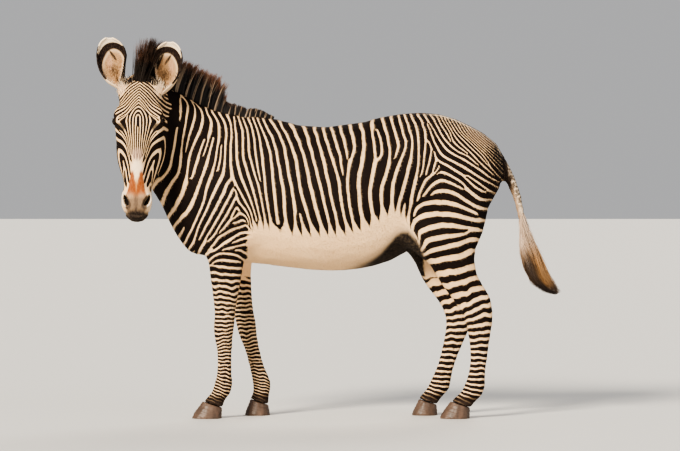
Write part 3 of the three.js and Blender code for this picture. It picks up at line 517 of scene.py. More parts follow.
THIGH_BARS = bar_lines(
    [0.537, 1.289, 0.522, 1.245, 0.515, 1.215, 0.479, 1.183, 0.46, 1.143, 0.443, 1.093],
    [0.55, 1.26, 0.543, 1.242, 0.53, 1.225],
    [0.557, 1.225, 0.604, 1.21, 0.654, 1.181, 0.69, 1.14, 0.735, 1.102, 0.77, 1.09, 0.806, 1.09],
    [0.472, 1.112, 0.518, 1.163, 0.558, 1.186, 0.6, 1.175, 0.666, 1.145],
    [0.515, 1.118, 0.54, 1.132, 0.59, 1.132, 0.647, 1.109, 0.713, 1.066, 0.74, 1.052, 0.79, 1.045],
    [0.425, 1.01, 0.44, 1.05, 0.466, 1.066, 0.515, 1.076, 0.57, 1.076, 0.64, 1.064, 0.702, 1.038,
     0.732, 1.023],
    [0.414, 0.92, 0.419, 0.96, 0.44, 0.995, 0.477, 1.013, 0.55, 1.02, 0.636, 1.013, 0.724, 0.99,
     0.765, 0.986],
    [0.45, 0.885, 0.452, 0.92, 0.477, 0.94, 0.526, 0.956, 0.6, 0.963, 0.68, 0.95, 0.765, 0.935],
    [0.477, 0.857, 0.488, 0.885, 0.526, 0.898, 0.6, 0.91, 0.68, 0.923, 0.7, 0.939],
    [0.488, 0.824, 0.515, 0.841, 0.57, 0.852, 0.65, 0.873, 0.707, 0.89, 0.745, 0.89],
    [0.504, 0.79, 0.537, 0.789, 0.6, 0.8, 0.652, 0.811, 0.73, 0.84],
)


def leg_rings(top, heights, pitches, slopes, middles, half_width):
    """Cream rings down a leg: their spacing, slope and middle change with height."""
    rings = []
    level = top
    while level > heights[0]:
        slope = np.interp(level, heights, slopes)
        middle = np.interp(level, heights, middles)
        rings.append([(middle + part * half_width, level + slope * part * half_width)
                      for part in (-1, -0.5, 0, 0.5, 1)])
        level -= np.interp(level, heights, pitches)
    return rings


HIND_RINGS = leg_rings(0.735, (0.10, 0.20, 0.35, 0.45, 0.55, 0.65, 0.75),
                       (0.020, 0.024, 0.030, 0.034, 0.041, 0.048, 0.055),
                       (-0.35, -0.05, 0.0, 0.1, 0.45, 0.3, 0.22),
                       (0.70, 0.715, 0.735, 0.74, 0.73, 0.69, 0.62), 0.12)
FORE_RINGS = leg_rings(0.755, (0.10, 0.20, 0.30, 0.38, 0.45, 0.60, 0.75),
                       (0.016, 0.017, 0.018, 0.018, 0.019, 0.024, 0.036),
                       (-0.45, -0.25, 0.1, 0.35, 0.05, -0.05, -0.1),
                       (-0.53, -0.52, -0.51, -0.505, -0.50, -0.50, -0.50), 0.10)


def smooth_line(points, gap):
    """A smooth line through given points, as close-set places and their directions."""
    points = np.array(points, dtype=float)
    padded = np.vstack([2 * points[0] - points[1], points, 2 * points[-1] - points[-2]])
    places = []
    for p0, p1, p2, p3 in zip(padded, padded[1:], padded[2:], padded[3:]):
        t = np.linspace(0, 1, max(2, int(np.linalg.norm(p2 - p1) / gap) + 1), endpoint=False)[:, None]
        places.append(0.5 * (2 * p1 + (p2 - p0) * t + (2 * p0 - 5 * p1 + 4 * p2 - p3) * t ** 2
                             + (3 * p1 - p0 - 3 * p2 + p3) * t ** 3))
    places = np.vstack(places + [points[-1:]])
    along = np.gradient(places, axis=0)
    return places, along / np.linalg.norm(along, axis=1)[:, None]


def moved(grid, by_x, by_y):
    """A grid shifted by one cell, its edge repeated."""
    grid = np.roll(grid, (by_x, by_y), axis=(0, 1))
    if by_x:
        grid[0 if by_x > 0 else -1] = grid[1 if by_x > 0 else -2]
    if by_y:
        grid[:, 0 if by_y > 0 else -1] = grid[:, 1 if by_y > 0 else -2]
    return grid


FOUR_WAYS = ((1, 0), (-1, 0), (0, 1), (0, -1))


class BarField:
    """Bars that follow guide lines on a flat plan, with forks where lines draw apart or end."""

    def __init__(self, lines, low, high, cell, widest):
        self.low, self.cell = low, cell
        self.shape = tuple(int(round((high[axis] - low[axis]) / cell)) + 1 for axis in (0, 1))
        traced = [smooth_line(line, cell * 0.8) for line in lines]
        places = np.vstack([t[0] for t in traced])
        along = np.vstack([t[1] for t in traced])
        owner = np.concatenate([np.full(len(t[0]), number) for number, t in enumerate(traced)])
        across = np.stack([along[:, 1], -along[:, 0]], axis=1)
        turn = 2 * np.arctan2(across[:, 1], across[:, 0])
        cosine, known = self.laid(places, np.cos(turn))
        sine, known = self.laid(places, np.sin(turn))
        lean = np.arctan2(self.filled(sine, known), self.filled(cosine, known)) / 2
        middles, gaps = self.gaps_between(places[::4], along[::4], across[::4], owner[::4], widest)
        spacing, known = self.laid(middles, np.log(gaps))
        spacing = np.exp(self.filled(spacing, known))
        self.wave_x = 2 * np.pi / spacing * np.cos(lean)
        self.wave_y = 2 * np.pi / spacing * np.sin(lean)
        self.grow(places)

    def cells(self, places):
        """The cell of the plan that each place falls in."""
        return tuple(np.clip(np.round((places[:, axis] - self.low[axis]) / self.cell).astype(int),
                             0, self.shape[axis] - 1) for axis in (0, 1))

    def laid(self, places, values):
        """The mean of the values that fall in each cell, and which cells have any."""
        count = np.zeros(self.shape)
        total = np.zeros(self.shape)
        where = self.cells(places)
        np.add.at(count, where, 1)
        np.add.at(total, where, values)
        return total / np.maximum(count, 1), count > 0

    def filled(self, values, known, rounds=90):
        """Spreads known cells over the unknown ones, then evens those out."""
        total = np.where(known, values, 0)
        have = known.astype(float)
        while not have.all():
            near = sum(moved(have, *way) for way in FOUR_WAYS)
            sums = sum(moved(total, *way) for way in FOUR_WAYS)
            new = (have == 0) & (near > 0)
            total[new] = sums[new] / near[new]
            have[new] = 1
        for _ in range(rounds):
            total = np.where(known, values, sum(moved(total, *way) for way in FOUR_WAYS) / 4)
        return total

    def gaps_between(self, places, along, across, owner, widest):
        """The distance from each place on a line to the lines beside it."""
        apart = places[None] - places[:, None]
        ahead = (apart * along[:, None]).sum(-1)
        aside = (apart * across[:, None]).sum(-1)
        beside = (owner[None] != owner[:, None]) & (np.abs(ahead) < 2 * self.cell)
        beside &= np.abs((along[None] * along[:, None]).sum(-1)) > 0.6
        middles, gaps = [], []
        for side in (1, -1):
            wide = aside * side
            reach = np.where(beside & (wide > 1.6 * self.cell) & (wide < widest), wide, np.inf)
            nearest = reach.argmin(1)
            gap = reach.min(1)
            has = np.isfinite(gap)
            middles += [(places[has] + places[nearest[has]]) / 2, places[has]]
            gaps += [gap[has], gap[has]]
        return np.vstack(middles), np.concatenate(gaps)

    def grow(self, places, rounds=150):
        """Grows the bars out from the lines until neighbouring cells agree."""
        where = self.cells(places)
        pins = np.zeros(self.shape, complex)
        step_x = self.low[0] + where[0] * self.cell - places[:, 0]
        step_y = self.low[1] + where[1] * self.cell - places[:, 1]
        np.add.at(pins, where, np.exp(1j * (self.wave_x[where] * step_x + self.wave_y[where] * step_y)))
        pins = np.where(pins != 0, pins / np.maximum(np.abs(pins), 1e-9), 0)
        moves = []
        for way in FOUR_WAYS:
            from_x, from_y = moved(self.wave_x, *way), moved(self.wave_y, *way)
            same = np.where(self.wave_x * from_x + self.wave_y * from_y < 0, -1, 1)
            phase = way[0] * (self.wave_x + same * from_x) + way[1] * (self.wave_y + same * from_y)
            moves.append((way, same > 0, np.exp(0.5j * self.cell * phase)))

        def gathered(bars):
            total = 0
            for way, same, phase in moves:
                other = moved(bars, *way)
                total = total + np.where(same, other, np.conj(other)) * phase
            return total

        bars = pins.copy()
        while (bars == 0).any():
            total = gathered(bars)
            new = (bars == 0) & (np.abs(total) > 1e-6)
            if not new.any():
                break
            bars[new] = total[new] / np.abs(total[new])
        for _ in range(rounds):
            total = gathered(bars) + 3 * pins
            bars = total / np.maximum(np.abs(total), 1e-9)
        self.bars = bars

    def at(self, x, y):
        """The bar phase at places (0 in the middle of a cream bar) and its rate of change."""
        u = np.clip((x - self.low[0]) / self.cell, 0, self.shape[0] - 1.001)
        v = np.clip((y - self.low[1]) / self.cell, 0, self.shape[1] - 1.001)
        home = (np.round(u).astype(int), np.round(v).astype(int))
        rate_x, rate_y = self.wave_x[home], self.wave_y[home]
        total = 0
        for i in (u.astype(int), u.astype(int) + 1):
            for j in (v.astype(int), v.astype(int) + 1):
                wave_x, wave_y = self.wave_x[i, j], self.wave_y[i, j]
                same = np.where(wave_x * rate_x + wave_y * rate_y < 0, -1, 1)
                value = np.where(same > 0, self.bars[i, j], np.conj(self.bars[i, j]))
                phase = same * self.cell * (wave_x * (u - i) + wave_y * (v - j))
                total = total + (1 - np.abs(u - i)) * (1 - np.abs(v - j)) * value * np.exp(1j * phase)
        return np.angle(total), rate_x, rate_y


BODY_BARS = NECK_BARS + SHOULDER_BARS + FLANK_BARS + RUMP_BARS + THIGH_BARS + HIND_RINGS + FORE_RINGS
BODY_CELL, BODY_WIDEST_GAP = 0.005, 0.082
body_field = BarField(BODY_BARS, (-1.08, 0.04), (0.95, 1.64), BODY_CELL, BODY_WIDEST_GAP)


# The face is planned on a chart of its own, laid round the head: across from the brow's middle
# line to the jaw, and down from the poll to the lips. Arches close over the forehead.
def face_chart(points):
    """Places on the face chart: across (from the brow's middle round to the jaw) and down."""
    down, left, forth = head_places(points)
    return HEAD_CORE * np.arctan2(left, forth + HEAD_CORE), down


BROW_BARS = bar_lines(
    [0.0, 0.24, 0.0, 0.28, 0.0, 0.36],
    [0.0, 0.175, 0.006, 0.178, 0.0115, 0.188, 0.013, 0.21, 0.014, 0.25, 0.013, 0.3, 0.0115, 0.37],
    [0.0, 0.155, 0.012, 0.16, 0.024, 0.178, 0.0295, 0.2, 0.0305, 0.24, 0.027, 0.29, 0.0225, 0.37],
    [0.0, 0.134, 0.018, 0.143, 0.035, 0.163, 0.047, 0.185, 0.0505, 0.21, 0.0475, 0.25, 0.039, 0.305,
     0.033, 0.37],
    [0.062, 0.178, 0.069, 0.2, 0.0675, 0.225, 0.062, 0.255, 0.052, 0.305, 0.043, 0.37],
    [0.0, 0.114, 0.03, 0.139, 0.06, 0.163, 0.08, 0.18, 0.097, 0.196, 0.098, 0.21, 0.09, 0.24, 0.079, 0.27,
     0.066, 0.305, 0.051, 0.36],
    [0.106, 0.25, 0.094, 0.275, 0.081, 0.305, 0.062, 0.36],
)
BROW_BARS += [[(0.0, 0.099 - 0.0148 * step), (0.03, 0.127 - 0.0168 * step), (0.063, 0.168 - 0.0205 * step),
               (0.095, 0.205 - 0.0225 * step)] +
              [(0.12, 0.228 - 0.0232 * step), (0.15, 0.240 - 0.0235 * step),
               (0.20, 0.246 - 0.0235 * step)] * (step > 2)
              for step in range(12)]
CHEEK_BARS = bar_lines(
    [0.055, 0.385, 0.07, 0.345, 0.09, 0.3, 0.112, 0.262, 0.135, 0.238, 0.16, 0.226, 0.2, 0.218],
    [0.042, 0.43, 0.06, 0.395, 0.085, 0.35, 0.11, 0.313, 0.135, 0.288, 0.16, 0.274, 0.185, 0.27, 0.205, 0.29,
     0.212, 0.34, 0.208, 0.42],
    [0.046, 0.49, 0.065, 0.455, 0.09, 0.412, 0.115, 0.375, 0.138, 0.352, 0.16, 0.342, 0.174, 0.362,
     0.178, 0.41, 0.172, 0.48],
    [0.056, 0.535, 0.075, 0.5, 0.1, 0.463, 0.122, 0.436, 0.138, 0.428, 0.146, 0.45, 0.144, 0.5],
    [0.075, 0.56, 0.095, 0.53, 0.115, 0.512, 0.13, 0.52, 0.145, 0.56],
    [0.25, 0.26, 0.25, 0.34, 0.245, 0.44, 0.235, 0.55],
    [0.29, 0.27, 0.29, 0.36, 0.28, 0.5],
    [0.17, 0.185, 0.21, 0.18, 0.26, 0.178, 0.31, 0.175],
)
half_face = BROW_BARS + CHEEK_BARS
other_half = [[(-across, down) for across, down in line] for line in half_face]
FACE_CELL, FACE_WIDEST_GAP = 0.0025, 0.07
face_field = BarField(half_face + other_half, (-0.36, -0.10), (0.36, 0.72), FACE_CELL, FACE_WIDEST_GAP)


def nearest_solids(points, nodes):
    """The number, in nodes, of the solid that each point lies nearest to."""
    corners, faces, owner = [], [], []
    for number, node in enumerate(nodes):
        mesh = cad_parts[node].data
        start = len(corners)
        corners += [v.co for v in mesh.vertices]
        faces += [[start + corner for corner in face.vertices] for face in mesh.polygons]
        owner += [number] * len(mesh.polygons)
    tree = BVHTree.FromPolygons(corners, faces)
    return np.array([owner[tree.find_nearest(Vector(point))[2]] for point in points])


def middle_at(points, levels, reach):
    """Half way between the foremost and rearmost points near each height."""
    near = [points[np.abs(points[:, 2] - level) < reach, 0] for level in levels]
    return np.array([(row.min() + row.max()) / 2 for row in near])


FLESH = TRUNK + LEG_PARTS
LEG_LEVELS = np.linspace(0.10, 0.66, 15)
FAR_SHIFT = {}
for end in ("fore", "hind"):
    legs = [np.vstack([points_of(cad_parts[f"leg_{end}_{side}_{part}"]) for part in ("lower", "upper")])
            for side in HANDS]
    FAR_SHIFT[end] = middle_at(legs[0], LEG_LEVELS, 0.035) - middle_at(legs[1], LEG_LEVELS, 0.035)


def lies_in(home, *nodes):
    """True for each point whose own solid is one of these."""
    return np.isin(home, [FLESH.index(node) for node in nodes])


def plan_places(points, on_far_leg):
    """Places on the body's side plan; a far leg is read at the near leg's own place."""
    x = points[:, 0].copy()
    for end, rows in on_far_leg.items():
        shift = np.interp(points[:, 2], LEG_LEVELS, FAR_SHIFT[end])
        x += rows * shift * (1 - ramp(points[:, 2], 0.62, 0.84))
    return x, points[:, 2]


def bar_marks(points, home):
    """Bar phase and its rate of change in space, from the body's plan and the face chart."""
    far_leg = {end: lies_in(home, f"leg_{end}_right_upper", f"leg_{end}_right_lower") * 1.0
               for end in ("fore", "hind")}
    x, z = plan_places(points, far_leg)
    phase, rate_x, rate_z = body_field.at(x, z)
    px, py, pz = points.T
    waver = np.sin(47 * px + 31 * py + 12 * pz) + 0.7 * np.sin(53 * py - 29 * px + 38 * pz + 2) \
        + 0.6 * np.sin(83 * px - 61 * py + 27 * pz)
    low_leg = 1 - ramp(pz, 0.55, 0.85)
    phase = phase + waver * (0.14 + np.where(px < 0, 0.62, 0.26) * low_leg)
    ripple = np.sin(138 * px + 26 * pz) + 0.8 * np.sin(94 * px - 35 * pz + 1) * np.sin(21 * pz)
    phase = phase + ripple * low_leg * np.where(px < 0, 0.75, 0.30)
    body = (phase, np.stack([rate_x, np.zeros_like(rate_x), rate_z], axis=1))
    across, down = face_chart(points)
    phase, rate_across, rate_down = face_field.at(across, down)
    _, left, forth = head_places(points)
    reach = left ** 2 + (forth + HEAD_CORE) ** 2
    swing = HEAD_CORE / np.maximum(reach, 1e-4)
    turning = (np.outer(swing * (forth + HEAD_CORE), HEAD_LEFT) - np.outer(swing * left, HEAD_FORTH))
    face = (phase, rate_across[:, None] * turning + np.outer(rate_down, HEAD_DOWN))
    return body, face


def ringed(across, down, middle, half_size, soft=0.35):
    """1 inside an oval on a plan, falling to 0 outside it."""
    reach = np.hypot((across - middle[0]) / half_size[0], (down - middle[1]) / half_size[1])
    return 1 - ramp(reach, 1 - soft, 1 + soft)


def painted(under, colour, amount):
    """Lays one more colour over the patches already there."""
    amount = np.clip(amount, 0, 1)
    left_over = under[:, 3] * (1 - amount)
    total = np.maximum(amount + left_over, 1e-6)
    under[:, :3] = (under[:, :3] * left_over[:, None] + np.outer(amount, colour)) / total[:, None]
    under[:, 3] = amount + left_over


# Edges as (distance along the body, height): the belly's white, and the groin's dark bare skin and painted
# shade; and the share of cream along the trunk.
BELLY_EDGE = [(-0.62, 0.80), (-0.45, 0.82), (-0.36, 0.945), (-0.25, 0.93), (-0.15, 0.905), (0.05, 0.905),
              (0.15, 0.925), (0.22, 0.96), (0.30, 1.01), (0.34, 1.01), (0.385, 0.975), (0.42, 0.90),
              (0.46, 0.80)]
GROIN_EDGE = [(0.06, 0.735), (0.12, 0.752), (0.18, 0.772), (0.22, 0.792), (0.26, 0.822), (0.30, 0.868),
              (0.335, 0.912), (0.365, 0.933), (0.40, 0.933), (0.445, 0.88), (0.475, 0.81), (0.50, 0.55)]
CREAM_ALONG = [(-0.95, 0.27), (-0.66, 0.27), (-0.5, 0.35), (-0.3, 0.31), (0.3, 0.29), (0.45, 0.29),
               (0.6, 0.31)]
DARK_HAIR = (0.020, 0.010, 0.007)
PALE_HAIR = (0.92, 0.75, 0.56)
DORSAL_BROWN = (0.060, 0.020, 0.010)
RUMP_FAWN = (0.30, 0.20, 0.135)
GROIN_PAINTED_SHADE = (0.20, 0.155, 0.13)
GROIN_SKIN_AND_SHADE = (0.015, 0.011, 0.010)
DOCK_FAWN = (0.36, 0.245, 0.165)
DOCK_BARS = (0.045, 0.024, 0.016)
DOCK_BAR_GAP = 0.0185
PASTERN_BROWN = (0.055, 0.036, 0.027)
BLAZE_PINK = (0.50, 0.34, 0.26)
RUST = (0.31, 0.088, 0.026)
BRIDGE_ORANGE = (0.50, 0.235, 0.085)
NOSE_TAN = (0.215, 0.140, 0.088)
NOSE_LINE = (0.095, 0.065, 0.05)
CHIN_FAWN = (0.62, 0.47, 0.36)
LIP_BLACK = (0.026, 0.018, 0.015)
EYE_BLACK = (0.020, 0.013, 0.011)
NOSTRIL_RIM, NOSTRIL_FOLD, NOSTRIL_HOLE = (0.80, 0.68, 0.55), (0.05, 0.036, 0.030), (0.010, 0.007, 0.006)
MIDDLE_Y = box_middle("tail")[1]


def trunk_marks(points, normals, home, share, patches):
    """The white belly, the dark lines along back and belly, the groin's dark skin and painted shade, and the
    tail with painted shadow on the front of its dock.
    """
    x, y, z = points.T
    y = y - MIDDLE_Y
    names = np.array(FLESH)[home]
    leg = np.char.startswith(names, "leg_")
    trunk = np.isin(names, ("chest", "barrel", "haunches"))
    share[:] = np.interp(x, *zip(*CREAM_ALONG))
    share += 0.12 * (1 - ramp(z, 0.95, 1.25)) * (x > 0.3)
    share[leg] = np.interp(z[leg], [0.10, 0.30, 0.60, 0.80], [0.32, 0.38, 0.45, 0.46]) - 0.04 * (x[leg] < 0)
    inner = ramp(-normals[:, 1] * np.sign(y), 0.1, 0.6) * (leg | trunk) * (1 - ramp(z, 0.90, 0.98))
    inner = inner * np.where(x < 0, ramp(z, 0.66, 0.86), ramp(z, 0.60, 0.80))
    share += 0.8 * inner
    belly = np.interp(x, *zip(*BELLY_EDGE))
    between = 1 - ramp(np.abs(y), 0.07, 0.13)
    bare = (1 - ramp(z, belly - 0.025, belly + 0.075)) * trunk * (x < 0.47) * (x > -0.62)
    bare = np.where(x < -0.40, bare * between, bare)
    share += 0.85 * bare
    midline = (1 - ramp(np.abs(y), 0.012, 0.02)) * (normals[:, 2] < -0.5) * trunk * ramp(x, -0.36, -0.30)
    painted(patches, DARK_HAIR, 0.9 * midline * (x < 0.3))
    fold = np.interp(x, *zip(*GROIN_EDGE))
    groin = (1 - ramp(z, fold - 0.020, fold + 0.012)) * ramp(x, 0.06, 0.24) * (x < 0.60)
    inside = (1 - ramp(np.abs(y), 0.06, 0.10)) * ramp(z, 0.62, 0.72)
    # Painted shade: a soft greyish-brown darkening under the belly in front of the hind legs, where the fold
    # is shaded.
    shade = trunk * (1 - ramp(z, fold - 0.02, fold + 0.055)) * ramp(x, 0.04, 0.2) * (x < 0.6)
    painted(patches, GROIN_PAINTED_SHADE, 0.6 * shade)
    # The groin's dark bare skin, painted darker still as shade deep in the fold and between the thighs.
    painted(patches, GROIN_SKIN_AND_SHADE, 0.95 * np.where(leg, groin * inside * (normals[:, 0] < 0.3), groin * trunk))
    on_top = ramp(normals[:, 2], 0.25, 0.5) * trunk * ramp(x, -0.36, -0.30)
    spine = np.interp(x, [-0.3, 0.3, 0.55, 0.75, 0.88], [0.012, 0.015, 0.026, 0.034, 0.024])
    beside = ramp(np.abs(y), spine, spine + 0.004) * (1 - ramp(np.abs(y), spine + 0.014, spine + 0.03))
    painted(patches, PALE_HAIR, 0.75 * beside * ramp(x, 0.45, 0.6) * on_top)
    fine = ringed(x + 0.9 * (z - 1.40), z, (0.765, 1.40), (0.065, 0.045)) * trunk
    painted(patches, RUMP_FAWN, 0.42 * fine)
    painted(patches, DORSAL_BROWN, (1 - ramp(np.abs(y), spine - 0.003, spine + 0.002)) * on_top)
    share -= 0.22 * trunk * ramp(normals[:, 0], 0.5, 0.9) * (x > 0.6) * (z > 0.8)
    root = ringed(x, z, (0.893, 1.25), (0.034, 0.10)) * (1 - ramp(np.abs(y), 0.035, 0.06)) * trunk
    painted(patches, DARK_HAIR, 0.97 * root)
    dock = (names == "tail").astype(float)
    share += 0.9 * dock
    bone = points_of(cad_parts["tail"])
    levels = np.linspace(bone[:, 2].min() + 0.02, bone[:, 2].max() - 0.02, 14)
    before = x - np.interp(z, levels, middle_at(bone, levels, 0.03))
    painted(patches, DOCK_FAWN, 0.9 * dock)
    painted(patches, PALE_HAIR, 0.85 * dock * ramp(before, -0.006, 0.004) * ramp(z, 0.98, 1.05))
    spots = np.cos(2 * math.pi * (z - 0.35 * before) / DOCK_BAR_GAP) * 0.5 + 0.5
    spots = ramp(spots, 0.28, 0.48) * ramp(before, -0.002, 0.003) * ramp(z, 1.02, 1.08)
    painted(patches, DOCK_BARS, 0.92 * dock * spots)
    # The dock's front side is dark hair with painted shadow: it stands in for the shade in the gap against
    # the buttock.
    painted(patches, DARK_HAIR, 0.97 * dock * (1 - ramp(before, -0.004, 0.002)) * ramp(z, 1.10, 1.17))
    painted(patches, DARK_HAIR, 0.9 * dock * (1 - ramp(np.abs(y), 0.004, 0.007)) * ramp(before, 0.0, 0.006))
    for leg in LEG_NAMES:
        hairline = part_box(leg.replace("leg", "hoof"))[1][2]
        ring = (names == f"{leg}_lower") * (1 - ramp(z, hairline + 0.015, hairline + 0.04))
        painted(patches, DARK_HAIR, 0.85 * ring)
        painted(patches, PASTERN_BROWN, 0.8 * ring * (1 - ramp(z, hairline - 0.01, hairline + 0.012)))


def face_marks(points, on_head, share, patches):
    """The plain blaze, the rust patches, the nose, the lips and the bare skin round the eyes."""
    across, down = face_chart(points)
    _, left, forth = head_places(points)
    aside = np.abs(across)
    face = on_head.astype(float)

    def oval(middle, half_size, soft=0.35):
        return ringed(aside, down, middle, half_size, soft)

    def paint(colour, amount):
        painted(patches, colour, face * amount)

    share[on_head] = 0.36
    share += face * 0.7 * ramp(down, 0.372, 0.425) * (1 - ramp(aside, 0.03 + 0.1 * (0.42 - down), 0.055))
    share += face * 0.8 * np.maximum(ramp(down, 0.53, 0.58), ramp(down - aside * 0.6, 0.465, 0.50))
    share += face * 0.7 * oval((0.128, 0.015), (0.03, 0.05))
    paint(BLAZE_PINK, 0.6 * oval((0.0, 0.375), (0.034, 0.032), 0.5))
    paint(PALE_HAIR, 0.7 * oval((0.0, 0.448), (0.036, 0.046)))
    inner_edge = 0.022 * np.maximum(1 - (down - 0.45) / 0.105, 0)
    outer_edge = 0.036 + 0.24 * (down - 0.45)
    slant = 0.3 * (aside - 0.03)
    rust = ramp(aside, inner_edge - 0.004, inner_edge + 0.002)
    rust = rust * (1 - ramp(aside, outer_edge - 0.005, outer_edge + 0.005))
    rust = rust * ramp(down, 0.442 - slant, 0.468 - slant) * (1 - ramp(down, 0.55, 0.605))
    paint(BRIDGE_ORANGE, 0.9 * oval((0.0, 0.552), (0.022, 0.052), 0.5))
    paint(RUST, 0.96 * rust)
    paint(NOSE_TAN, 0.92 * ramp(down, 0.555, 0.60) * (1 - ramp(aside, 0.062, 0.085)))
    paint(NOSE_LINE, 0.6 * oval((0.0, 0.615), (0.011, 0.04), 0.6))
    paint(PALE_HAIR, 0.8 * oval((0.118, 0.60), (0.026, 0.045), 0.35))
    paint(CHIN_FAWN, 0.6 * oval((0.17, 0.60), (0.06, 0.05), 0.4))
    lips = ramp(down + 0.12 * np.maximum(0.07 - aside, 0), 0.638, 0.668)
    paint(LIP_BLACK, 0.96 * lips)
    eye_dark = oval((0.118, 0.203), (0.016, 0.0145), 0.3)
    streak = oval((0.098, 0.232), (0.018, 0.018), 0.4)
    paint(EYE_BLACK, np.maximum(eye_dark, 0.8 * streak))
    for sign in (-1, 1):
        hole = nostril_reach(down, left, sign)
        beside = sign * left > NOSTRIL_LEFT
        rim = (1 - ramp(hole, 1.3, 1.75)) * ramp(hole, 0.95, 1.15)
        paint(NOSTRIL_RIM, 0.9 * rim * beside * (forth > -0.10))
        paint(NOSTRIL_FOLD, 0.8 * rim * ~beside * (forth > -0.10))
        # The nostril's opening is painted near black: dark skin and painted shade deep in the hole.
        paint(NOSTRIL_HOLE, (1 - ramp(hole, 0.85, 1.1)) * (forth > -0.10))


def coat_marks(points, normals, home):
    """Everything the coat's colour needs at each point: bars, the share of cream in them, patches."""
    down, left, forth = head_places(points)
    on_head = lies_in(home, "head", "muzzle")
    on_head &= ~((forth < -0.20) & (down < 0.40))
    body, face = bar_marks(points, home)
    share = np.zeros(len(points))
    patches = np.zeros((len(points), 4))
    trunk_marks(points, normals, home, share, patches)
    face_marks(points, on_head, share, patches)
    # A ragged dark band behind the jaw is painted shade: it stands in for the shadow on the neck behind the
    # head, and hides where the face's bars meet the neck's.
    to_neck = np.abs(forth + 0.20)
    reach = 0.013 + 0.009 * np.sin(down * 47) + 0.006 * np.sin(down * 113)
    shade_behind_jaw = 1 - ramp(to_neck, reach, reach + 0.011)
    share -= 0.75 * shade_behind_jaw * (down > -0.02) * (down < 0.44) * (np.abs(left) < 0.2)
    return on_head, body, face, share, patches


def corner_phases(mesh, marks_for_body, marks_for_face, on_head):
    """Bar phase at each face corner, unrolled from the face's first corner so it never wraps."""
    corner_point = read_all(mesh.loops, "vertex_index", kind=np.int64)
    starts = read_all(mesh.polygons, "loop_start", kind=np.int64)
    sizes = read_all(mesh.polygons, "loop_total", kind=np.int64)
    first = corner_point[np.repeat(starts, sizes)]
    places = read_all(mesh.vertices, "co", 3)
    step = places[corner_point] - places[first]
    results = []
    for phase, rate in (marks_for_body, marks_for_face):
        same = np.where((rate[corner_point] * rate[first]).sum(1) < 0, -1, 1)
        expected = phase[first] + 0.5 * ((rate[first] + same[:, None] * rate[corner_point]) * step).sum(1)
        own = same * phase[corner_point]
        results.append(own + 2 * np.pi * np.round((expected - own) / (2 * np.pi)))
    whole_head = np.minimum.reduceat(on_head[corner_point].astype(int), starts)
    return np.where(np.repeat(whole_head, sizes) > 0, results[1], results[0])


def add_values(mesh, name, kind, domain, values):
    """Stores one value or colour for each point or corner of a mesh, under a name."""
    layer = mesh.attributes.new(name, kind, domain)
    values = np.ascontiguousarray(values, dtype=np.float32).ravel()
    layer.data.foreach_set({"FLOAT_COLOR": "color", "FLOAT_VECTOR": "vector"}.get(kind, "value"), values)


points, normals = points_of(hide), normals_of(hide)
home = nearest_solids(points, FLESH)
on_head, body, face, share, patches = coat_marks(points, normals, home)
add_values(hide.data, "bar_phase", "FLOAT", "CORNER", corner_phases(hide.data, body, face, on_head))
add_values(hide.data, "cream_share", "FLOAT", "POINT", share)
add_values(hide.data, "patches", "FLOAT_COLOR", "POINT", patches)


class Finish:
    """A material in the making, with short ways to add, set and join its nodes."""

    def __init__(self, name, settings):
        self.material = bpy.data.materials.new(name)
        self.material.use_nodes = True
        self.shader = self.material.node_tree.nodes["Principled BSDF"]
        self.put(self.shader, settings)

    def put(self, node, sockets):
        """Gives each listed socket its value, or joins it to another node's output."""
        for label, value in sockets.items():
            socket = node.inputs[label]
            if isinstance(value, bpy.types.NodeSocket):
                self.material.node_tree.links.new(value, socket)
            elif socket.type == "RGBA":
                socket.default_value = (*value, 1)
            else:
                socket.default_value = value

    def add(self, kind, sockets=None, **settings):
        node = self.material.node_tree.nodes.new("ShaderNode" + kind)
        for setting, value in settings.items():
            setattr(node, setting, value)
        self.put(node, sockets or {})
        return node

    def sum_of(self, kind, first, second=0.0):
        """One step of arithmetic on two numbers or outputs."""
        return self.add("Math", {0: first, 1: second}, operation=kind).outputs[0]

    def reading(self, label):
        """What add_values stored on the piece under a name."""
        return self.add("Attribute", attribute_name=label).outputs

    def grain(self, scale, detail, stretch=(1, 1, 1)):
        """A cloudy pattern in the piece's own space, drawn out or squeezed along each axis."""
        place = self.add("TexCoord").outputs["Object"]
        spot = self.add("Mapping", {"Vector": place, "Scale": stretch}).outputs["Vector"]
        return self.add("TexNoise", {"Vector": spot, "Scale": scale, "Detail": detail}).outputs["Fac"]

    def between(self, factor, first, second):
        node = self.add("Mix", {"Factor": factor, "A": first, "B": second}, data_type="RGBA")
        return node.outputs["Result"]

    def shades(self, factor, steps):
        """A run of colours along a factor, from (place on it, colour) steps."""
        node = self.add("ValToRGB", {"Fac": factor})
        listed = node.color_ramp.elements
        for end, (position, colour) in zip(listed[:], (steps[0], steps[-1])):
            end.position, end.color = position, (*colour, 1)
        for position, colour in steps[1:-1]:
            listed.new(position).color = (*colour, 1)
        return node.outputs["Color"]

    def relief(self, height, strength, distance):
        bump = self.add("Bump", {"Height": height, "Strength": strength, "Distance": distance})
        self.put(self.shader, {"Normal": bump.outputs["Normal"]})


DARK_BARS = ((0.006, 0.004, 0.0035), (0.024, 0.011, 0.007))
CREAM_BARS = ((0.96, 0.71, 0.44), (0.91, 0.60, 0.33))
CREAM_STRANDS = (0.72, 0.51, 0.33)


